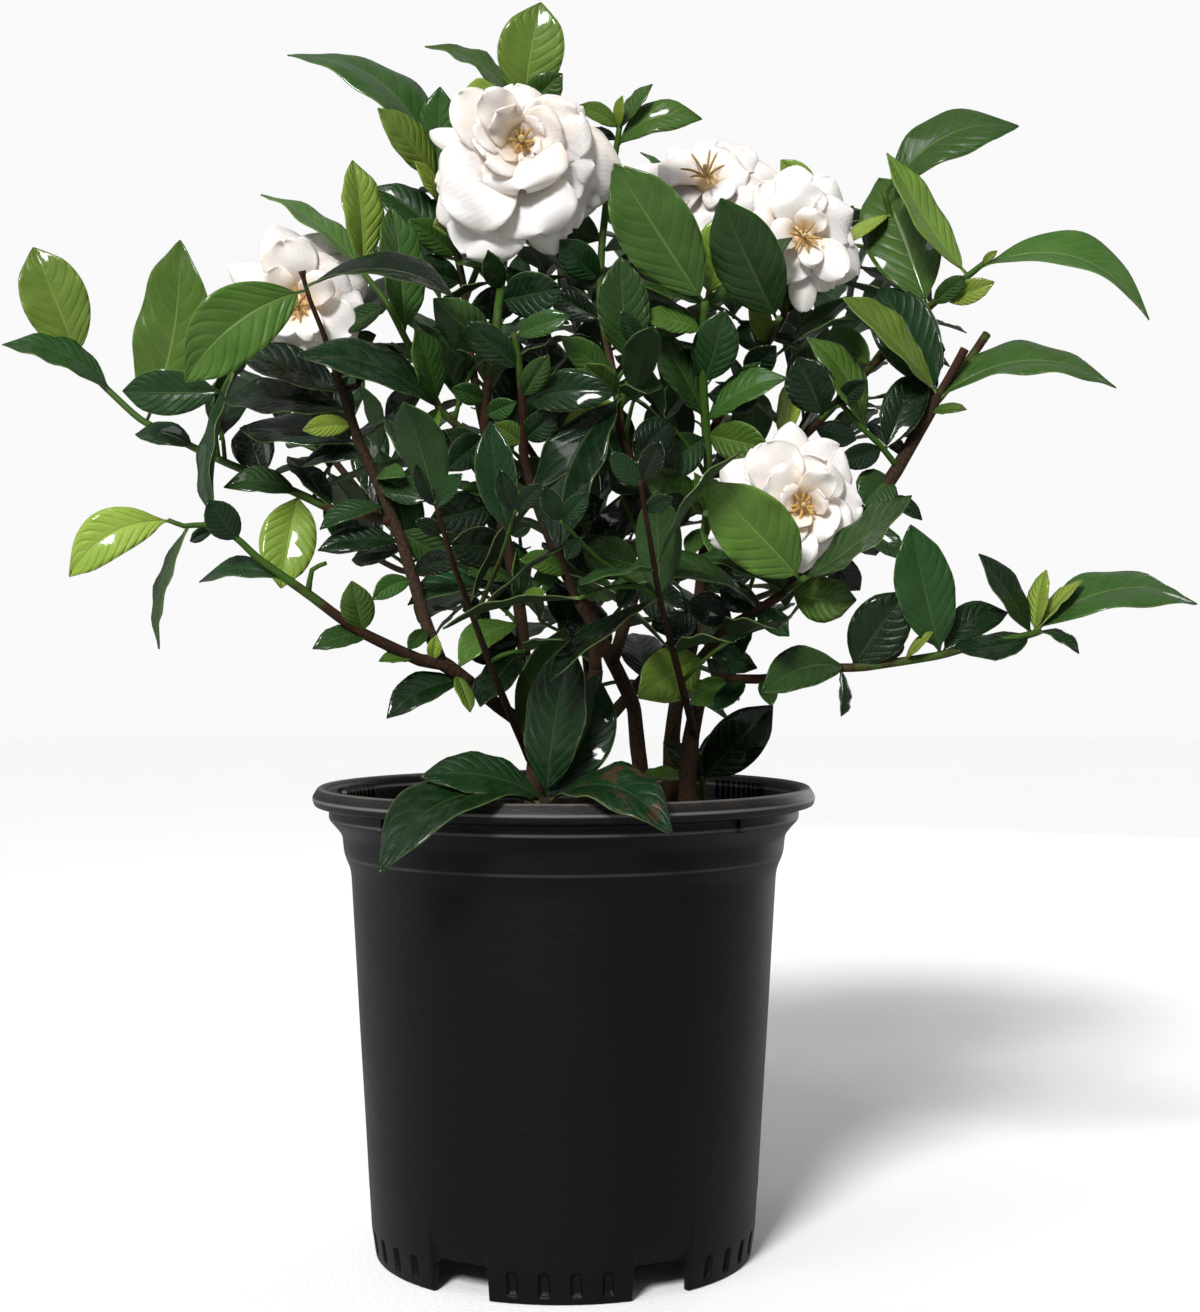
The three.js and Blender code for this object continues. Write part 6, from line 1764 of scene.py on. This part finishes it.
class GARDENIA_OT_stamens(Operator):
    """Sets the anthers and the club in the throat of every bloom"""
    bl_idname = "gardenia.stamens"
    bl_label = "Stamens"

    def execute(self, context):
        settings = context.scene.gardenia
        for order, node in enumerate(BLOOMS):
            chance = Chance(STAMEN_SEED + order)
            bloom = bloom_frame(node)
            skin = Skin()
            foot = bloom.base + bloom.axis * 0.34 * bloom.radius + bloom.throat
            t = np.linspace(0, 1, CLUB_ROWS)
            path = foot + np.outer(t * 0.30 * bloom.radius, bloom.axis)
            radii = (0.022 + 0.018 * smooth(t, 0.4, 0.85)) * bloom.radius
            radii = radii * np.sqrt(np.clip(1.02 - t ** 6, 0.02, 1))
            add_tube(skin, path, radii, CLUB_SIDES, (0.9, 0, 0), 0, bumpy(path, CLUB_SIDES, chance, 0.08))
            for k in range(ANTHER_COUNT):
                turn = k * 2 * math.pi / ANTHER_COUNT
                add_anther(skin, bloom, foot, turn, ANTHER_SCALE.get(node, OTHER_ANTHERS), chance)
            name = node + "_anthers"
            place_piece(name, skin.mesh(name), node + "_stamens", "stamen", anther(settings))
        return {"FINISHED"}


BASE_PLATE_UNDER = 15.3
# The pot's outline from its foot, over the lip and down inside to its floor: radius, height, rounding
POT_OUTLINE = [
    (81, 0, 0.6), (84, 0, 0.8), (84.2, 1.6, 0), (84.5, 3.1, 0), (84.55, 3.5, 0), (84.65, 4.1, 0),
    (84.9, 6, 0), (85.2, 8, 0), (85.5, 10, 0), (85.8, 11.6, 0), (85.86, 12.2, 0), (85.92, 12.7, 0),
    (85.97, 13.2, 0), (86.02, 13.7, 0), (86.07, 14.4, 0), (86.2, 16.5, 0), (86.4, 20, 0), (87, 30, 0),
    (89, 66, 0), (91.2, 102, 0), (93.2, 138, 0), (95.1, 171, 4), (98.2, 178, 3), (99, 186.5, 2),
    (102, 190.2, 1.4), (105, 193.5, 1.2), (105, 198, 0.7), (111.4, 199.6, 0.8), (112.5, 203, 1.3),
    (109.5, POT_HEIGHT, 1.7), (105.5, 206.4, 1.2), (103.4, 194.5, 1.6), (97.4, 187, 2.0),
    (93.5, 171.4, 3.0), (90, 110, 0), (84.4, BASE_PLATE_TOP, 1.0), (70, BASE_PLATE_TOP, 0),
    (1.5, BASE_PLATE_TOP, 0), (1.5, BASE_PLATE_UNDER, 0), (70, BASE_PLATE_UNDER, 0),
    (81, BASE_PLATE_UNDER, 0.5),
]
CORNER_ROWS = 5
CORNER_SHARE = 0.45
# Degrees from foot to foot, and where the first foot and the first drain hole stand
FOOT_PITCH = 60
FIRST_FOOT = -90
FIRST_DRAIN = -60
# Stations across one foot and the gap after it, in degrees from the foot's middle
GROOVE_MIDDLES = (-13.5, -4.5, 4.5, 13.5)
GROOVE_STATIONS = (-2.0, -1.75, -1.45, -1.15, -0.6, 0, 0.6, 1.15, 1.45, 1.75, 2.0)
FOOT_STATIONS = (-20.5, -20.0, -18.6, -17.0, -10.2, -9, -7.8, -1.2, 0,
                 1.2, 7.8, 9, 10.2, 17.0, 18.6, 20.0, 20.5)
GAP_STATIONS = (20.8, 21.3, 22.2, 24, 27, 30, 33, 36, 37.8, 38.7, 39.2)
# How high the wall's lower edge lies across a gap, and up to what height the wall is drawn up with it
NOTCH_STATIONS = (20.5, 20.8, 21.3, 22.2, 37.8, 38.7, 39.2, 39.5)
NOTCH_HEIGHTS = (0, 11.5, 13.7, 14.5, 14.5, 13.7, 11.5, 0)
NOTCH_FADE = 30.0
RING_INSIDE = 81.5
FOOT_EDGE = 20.6
GROOVE_DEPTH = 1.7
GROOVE_TOP = 13.6
FLOOR_MIDDLE = 2.0
DRAIN_RADIUS = 5.0
DRAIN_PLACE = 62.0
DRAIN_SIDES = 28
DRAIN_HEIGHTS = (8.0, 24.0)
# A small turn keeps the drains' corners off the wall's own edges, where they wouldn't cut cleanly
DRAIN_TURN = 0.3


def around(turn):
    """Outwards and sideways at a turn about the pot's axis."""
    out = np.array([math.cos(turn), math.sin(turn), 0.0])
    return out, np.array([-math.sin(turn), math.cos(turn), 0.0])


def rounded_outline(outline, rows):
    """A closed outline with its corners rounded off."""
    corners = [np.array(row[:2], float) for row in outline]
    points = []
    for index, (corner, (*_, size)) in enumerate(zip(corners, outline)):
        if size == 0:
            points.append(corner)
            continue
        start, end = (
            corner + unit(other - corner) * min(size, CORNER_SHARE * np.linalg.norm(other - corner))
            for other in (corners[index - 1], corners[(index + 1) % len(corners)]))
        for t in np.linspace(0, 1, rows):
            points.append(start * (1 - t) ** 2 + corner * 2 * t * (1 - t) + end * t * t)
    return np.array(points)


def pot_shell():
    """The moulded wall: turned, with its foot ring cut into feet that carry upright grooves."""
    offsets = {middle + step for middle in GROOVE_MIDDLES for step in GROOVE_STATIONS}
    offsets = sorted(offsets | set(FOOT_STATIONS) | set(GAP_STATIONS))
    angle = np.radians([
        FIRST_FOOT + FOOT_PITCH * foot + offset for foot in range(FOOT_COUNT) for offset in offsets])
    offset = np.tile(offsets, FOOT_COUNT)
    outline = rounded_outline(POT_OUTLINE, CORNER_ROWS)
    R = np.repeat(outline[:, :1], len(angle), axis=1)
    Z = np.repeat(outline[:, 1:], len(angle), axis=1)
    notch = np.interp(offset, NOTCH_STATIONS, NOTCH_HEIGHTS)
    inside = R <= RING_INSIDE
    top = np.where(inside, BASE_PLATE_UNDER, NOTCH_FADE)
    Z = np.where(Z < top, notch + Z * (top - notch) / top, Z)
    for middle in GROOVE_MIDDLES:
        off = np.abs(offset - middle)
        upper = GROOVE_TOP - 1.3 * (off / 1.6) ** 2
        shape = (1 - smooth(off, 1.1, 1.8)) * smooth(Z, 3.0, 4.4) * (1 - smooth(Z, upper - 1.0, upper + 0.3))
        R = R - np.where(inside, 0, GROOVE_DEPTH * shape * (offset < FOOT_EDGE))
    wobble = 0.12 * np.sin(3 * angle + 0.7) + 0.08 * np.sin(7 * angle + 2.1)
    R = R + wobble * smooth(Z, 150.0, 200.0)
    rows, columns = R.shape
    skin = Skin()
    first = skin.add_points(stacked(R * np.cos(angle), R * np.sin(angle), Z), np.zeros(3), (0, 0, 0))
    upper, lower = (i for i in range(rows) if outline[i][0] < FLOOR_MIDDLE)
    bands = [(i, (i + 1) % rows) for i in range(rows) if i != upper]
    skin.add_faces(ring_faces(first, bands, columns), 0)
    skin.add_cap(first + upper * columns, columns, 0, turned_over=True)
    skin.add_cap(first + lower * columns, columns, 0)
    return skin


BLOCK_CORNERS = ((-1, -1, -1), (1, -1, -1), (1, 1, -1), (-1, 1, -1),
                 (-1, -1, 1), (1, -1, 1), (1, 1, 1), (-1, 1, 1))
BLOCK_FACES = ((0, 3, 2, 1), (4, 5, 6, 7), (0, 1, 5, 4), (1, 2, 6, 5), (2, 3, 7, 6), (3, 0, 4, 7))
PLAIN_BLADE = np.array([0.0, 0.5, 1.0])


def add_block(skin, center, sizes, directions, chance, kind, rounding):
    """A small uneven block that is narrower at its top."""
    u, v, w = directions
    corners = []
    for x, y, z in BLOCK_CORNERS:
        shrink = 1 - rounding * (z > 0) - chance.between(0, rounding)
        corners.append(center + u * x * sizes[0] * shrink + v * y * sizes[1] * shrink + w * z * sizes[2])
    first = skin.add_points(np.array(corners), PLAIN_BLADE, kind)
    skin.add_faces([tuple(first + i for i in face) for face in BLOCK_FACES], 0, False)


# Small uprights on the pot's rim: the radius and height of a middle, and half of a size each way
BAND_RIBS = 4
RIB_PLACE = (105.3, 195.9)
RIB_SIZES = (1.1, 1.2, 3.0)
LUG_TURNS = (37, 160, 280)
LUG_RIDGES = 9
LUG_STEP = 2.1
RIDGE_PLACE = (103.2, 200.6)
RIDGE_SIZES = (1.5, 0.9, 4.4)


def add_upright(skin, turn, place, sizes, chance, rounding):
    """A small upright block on the pot's rim."""
    out, side = around(turn)
    center = out * place[0] + UP * place[1]
    add_block(skin, center, sizes, (out, side, UP), chance, (0, 0, 0), rounding)


def add_rim_details(skin):
    """Upright ribs under the lip, and ridged lugs inside it that a lid or label clips behind."""
    for k in range(BAND_RIBS):
        turn = (k + 0.5) / BAND_RIBS * 2 * math.pi
        add_upright(skin, turn, RIB_PLACE, RIB_SIZES, Chance(RIB_SEED + k), 0.1)
    for lug in LUG_TURNS:
        for k in range(LUG_RIDGES):
            turn = math.radians(lug + (k - (LUG_RIDGES - 1) / 2) * LUG_STEP)
            add_upright(skin, turn, RIDGE_PLACE, RIDGE_SIZES, Chance(RIDGE_SEED + k), 0.2)


def drain_cutter():
    """Six upright pegs, where the drain holes go through the floor."""
    skin = Skin()
    for foot in range(FOOT_COUNT):
        out = around(math.radians(FIRST_DRAIN + FOOT_PITCH * foot + DRAIN_TURN))[0]
        path = out * DRAIN_PLACE + np.outer(DRAIN_HEIGHTS, UP)
        add_tube(skin, path, np.full(len(path), DRAIN_RADIUS), DRAIN_SIDES, (0, 0, 0), 0)
    return add_object("drain_cutter", skin.mesh("drain_cutter"))


def cut_away(mesh, cutter):
    """The mesh with the cutter's volume taken out of it."""
    shell = add_object("shell", mesh)
    cut = shell.modifiers.new("drains", "BOOLEAN")
    cut.operation = "DIFFERENCE"
    cut.solver = "EXACT"
    cut.object = cutter
    bpy.context.view_layer.update()
    done = bpy.data.meshes.new_from_object(shell.evaluated_get(bpy.context.evaluated_depsgraph_get()))
    for thing in (shell, cutter):
        bpy.data.objects.remove(thing)
    return done


class GARDENIA_OT_pot(Operator):
    """Moulds the pot with its rolled lip, ribs, feet and drain holes"""
    bl_idname = "gardenia.pot"
    bl_label = "Pot"

    def execute(self, context):
        skin = pot_shell()
        add_rim_details(skin)
        mesh = cut_away(skin.mesh("pot_wall"), drain_cutter())
        if len(mesh.polygons) < len(skin.faces) / 2:
            raise RuntimeError("the drain holes took the pot's wall away")
        place_piece("pot_moulded", mesh, "pot", "pot", moulded_pot(context.scene.gardenia))
        return {"FINISHED"}


SOIL_OUTLINE = [(1.0, 18.35), (84.05, 18.35), (88.4, 100), (92.85, 171), (93.6, 174.6)]
SOIL_RINGS = 40
SOIL_TURNS = 150
SOIL_EDGE = 93.2
# The soil's swells: height, width and a place of its own in the noise
SOIL_SWELLS = ((1.6, 26, 0.3), (1.1, 9, 4.1), (0.7, 3.4, 9.7))
CHIP_REACH = 91.0
CHIP_SIZES = (0.8, 2.6)
LARGE_CHIP = 1.5
LARGE_CHIPS_FROM = 0.85


def soil_height(x, y):
    """The crumbly top of the soil at a place."""
    swell = sum(
        height * noise_at(Vector((x / width, y / width, layer))) for height, width, layer in SOIL_SWELLS)
    return SOIL_TOP + 0.8 - 3.4 * smooth(math.hypot(x, y), 78.0, SOIL_EDGE) + swell


def turned_rings(outline, columns):
    """Closed level rings of points about the pot's axis, one for each radius and height."""
    turns = np.arange(columns) * 2 * math.pi / columns
    return np.array([[(r * math.cos(a), r * math.sin(a), z) for a in turns] for r, z in outline])


def add_chip(skin, chance):
    """A bark chip that lies somewhere on the soil."""
    reach = CHIP_REACH * math.sqrt(chance.part())
    turn = chance.turn()
    x, y = reach * math.cos(turn), reach * math.sin(turn)
    size = chance.between(*CHIP_SIZES) * (LARGE_CHIP if chance.part() > LARGE_CHIPS_FROM else 1)
    yaw, pitch = chance.turn(), chance.between(-0.5, 0.5)
    u = np.array([math.cos(yaw) * math.cos(pitch), math.sin(yaw) * math.cos(pitch), math.sin(pitch)])
    v = unit(np.cross(UP, u))
    directions = (u, v, np.cross(u, v))
    center = np.array([x, y, soil_height(x, y) + 0.2 * size])
    sizes = (size, size * chance.between(0.4, 0.8), size * chance.between(0.18, 0.42))
    kind = (chance.between(0.1, 1.0), chance.part(), 0)
    add_block(skin, center, sizes, directions, chance, kind, 0.3)


class GARDENIA_OT_soil(Operator):
    """Fills the pot with soil and strews bark chips on it"""
    bl_idname = "gardenia.soil"
    bl_label = "Soil"

    def execute(self, context):
        settings = context.scene.gardenia
        reaches = np.linspace(SOIL_EDGE, 1.0, SOIL_RINGS)
        rings = turned_rings(SOIL_OUTLINE + [(reach, 0.0) for reach in reaches], SOIL_TURNS)
        for point in rings[len(SOIL_OUTLINE):].reshape(-1, 3):
            point[2] = soil_height(point[0], point[1])
        skin = Skin()
        skin.add_rings(rings, PLAIN_BLADE, (0, 0, 0), 0)
        chance = Chance(SOIL_SEED)
        for _ in range(settings.soil.chips):
            add_chip(skin, chance)
        place_piece("soil_mix", skin.mesh("soil_mix"), "soil", "soil", soil_mix(settings))
        return {"FINISHED"}


# The studio, in millimetres for the floor and metres for the lights
FLOOR_RADII = (5000.0, 2000.0, 800.0, 300.0, 100.0)
FLOOR_LEVEL = -0.2
FLOOR_TURNS = 96
# Soft lamps: place, target, width and height, and how much of its light's power each gives
SOFTBOXES = {
    "light_over": ((-0.75, -0.85, 1.75), (0.0, 0.0, 0.30), (0.6, 0.5), 1.0),
    "light_left": ((-1.25, 0.15, 0.42), (0, 0, 0.25), (0.5, 1.3), 0.8),
    "light_right": ((1.05, 1.75, 0.42), (0, 0, 0.25), (0.5, 1.3), 2.2),
}
EVEN_LIGHT_FROM = (-0.4, -1.15, 0.85)
EVEN_LIGHT_ANGLE = 14
# The walls' brightness by direction, as from where to where and from and to what; and behind the plant
WALLS_TO_THE_BACK = (-0.8, 0.9, 0.24, 0.28)
WALLS_TO_THE_TOP = (-0.2, 0.9, 0.8, 1.3)
WALL_BEHIND = 0.95
WHITE = (1.0, 1.0, 1.0)
SENSOR_WIDTH = 36.0
NEAREST_SIGHT = 0.01


def aimed(location, target):
    """The turn that points a lamp from its place to a target."""
    return (Vector(target) - Vector(location)).to_track_quat("-Z", "Y").to_euler()


def add_softbox(name, power):
    """One of the studio's wide soft lamps."""
    location, target, sizes, share = SOFTBOXES[name]
    lamp = bpy.data.lights.new(name, "AREA")
    lamp.shape = "RECTANGLE"
    lamp.size, lamp.size_y = sizes
    lamp.energy = share * power
    add_object(name, lamp, location, aimed(location, target))


def light_room(scene):
    """Pale walls all round, darker in front so that glossy black plastic stays black."""
    world = bpy.data.worlds.new("studio")
    world.use_nodes = True
    scene.world = world
    tree = Tree(world.node_tree)
    world.node_tree.nodes.clear()
    way = tree.split(tree.add("ShaderNodeTexCoord").outputs["Generated"])
    glow = tree.times(tree.step(way["Y"], *WALLS_TO_THE_BACK), tree.step(way["Z"], *WALLS_TO_THE_TOP))
    walls, behind = (
        tree.add("ShaderNodeBackground", {"Color": WHITE, "Strength": strength}).outputs[0]
        for strength in (glow, WALL_BEHIND))
    seen = tree.add("ShaderNodeLightPath").outputs["Is Camera Ray"]
    both = tree.fill(tree.add("ShaderNodeMixShader"), (seen, walls, behind))
    tree.add("ShaderNodeOutputWorld", {"Surface": both})


class GARDENIA_OT_stage(Operator):
    """Sets up the floor, the studio light and the camera"""
    bl_idname = "gardenia.stage"
    bl_label = "Studio"

    def execute(self, context):
        settings = context.scene.gardenia
        scene = context.scene
        skin = Skin()
        rings = turned_rings([(radius, FLOOR_LEVEL) for radius in FLOOR_RADII], FLOOR_TURNS)
        skin.add_rings(rings, PLAIN_BLADE, (0, 0, 0), 0, closed=False)
        mesh = skin.mesh("floor")
        mesh.materials.append(studio_floor(settings))
        floor = add_object("floor", mesh)
        light_room(scene)
        add_softbox("light_over", settings.stage.key_power)
        sun = bpy.data.lights.new("light_even", "SUN")
        sun.energy = settings.stage.even_light
        sun.angle = math.radians(EVEN_LIGHT_ANGLE)
        add_object("light_even", sun, rotation=aimed(EVEN_LIGHT_FROM, (0, 0, 0)))
        add_softbox("light_left", settings.stage.side_power)
        add_softbox("light_right", settings.stage.side_power)
        camera = bpy.data.cameras.new("camera")
        camera.sensor_fit = "HORIZONTAL"
        camera.sensor_width = SENSOR_WIDTH
        camera.lens = EYE_FOCAL * SENSOR_WIDTH / PICTURE_SIZE[0]
        camera.shift_y = (PICTURE_SIZE[1] / 2 - EYE_ROW) / -PICTURE_SIZE[0]
        camera.clip_start = NEAREST_SIGHT
        scene.camera = add_object("camera", camera, EYE * MM, (math.pi / 2, 0, 0))
        scene.view_settings.view_transform = "Standard"
        return {"FINISHED"}


STEPS = (GARDENIA_OT_stage, GARDENIA_OT_pot, GARDENIA_OT_soil, GARDENIA_OT_stems, GARDENIA_OT_sprays,
         GARDENIA_OT_blooms, GARDENIA_OT_stamens)


class GARDENIA_PT_panel(Panel):
    bl_idname = "GARDENIA_PT_panel"
    bl_label = "Potted gardenia"
    bl_space_type = "VIEW_3D"
    bl_region_type = "UI"
    bl_category = "Gardenia"

    def draw(self, context):
        settings = context.scene.gardenia
        for part in GardeniaSettings.__annotations__:
            group = getattr(settings, part)
            box = self.layout.box()
            for name in group.__annotations__:
                box.prop(group, name)
        for step in STEPS:
            self.layout.operator(step.bl_idname)


CLASSES = (LeafSettings, StemSettings, BloomSettings, PotSettings, SoilSettings, StageSettings,
           GardeniaSettings, *STEPS, GARDENIA_PT_panel)


def register():
    for item in CLASSES:
        bpy.utils.register_class(item)
    bpy.types.Scene.gardenia = PointerProperty(type=GardeniaSettings)


def unregister():
    del bpy.types.Scene.gardenia
    for item in reversed(CLASSES):
        bpy.utils.unregister_class(item)


def main():
    register()
    for step in (bpy.ops.gardenia.stage, bpy.ops.gardenia.pot, bpy.ops.gardenia.soil, bpy.ops.gardenia.stems,
                 bpy.ops.gardenia.sprays, bpy.ops.gardenia.blooms, bpy.ops.gardenia.stamens):
        step()


if __name__ == "__main__":
    main()
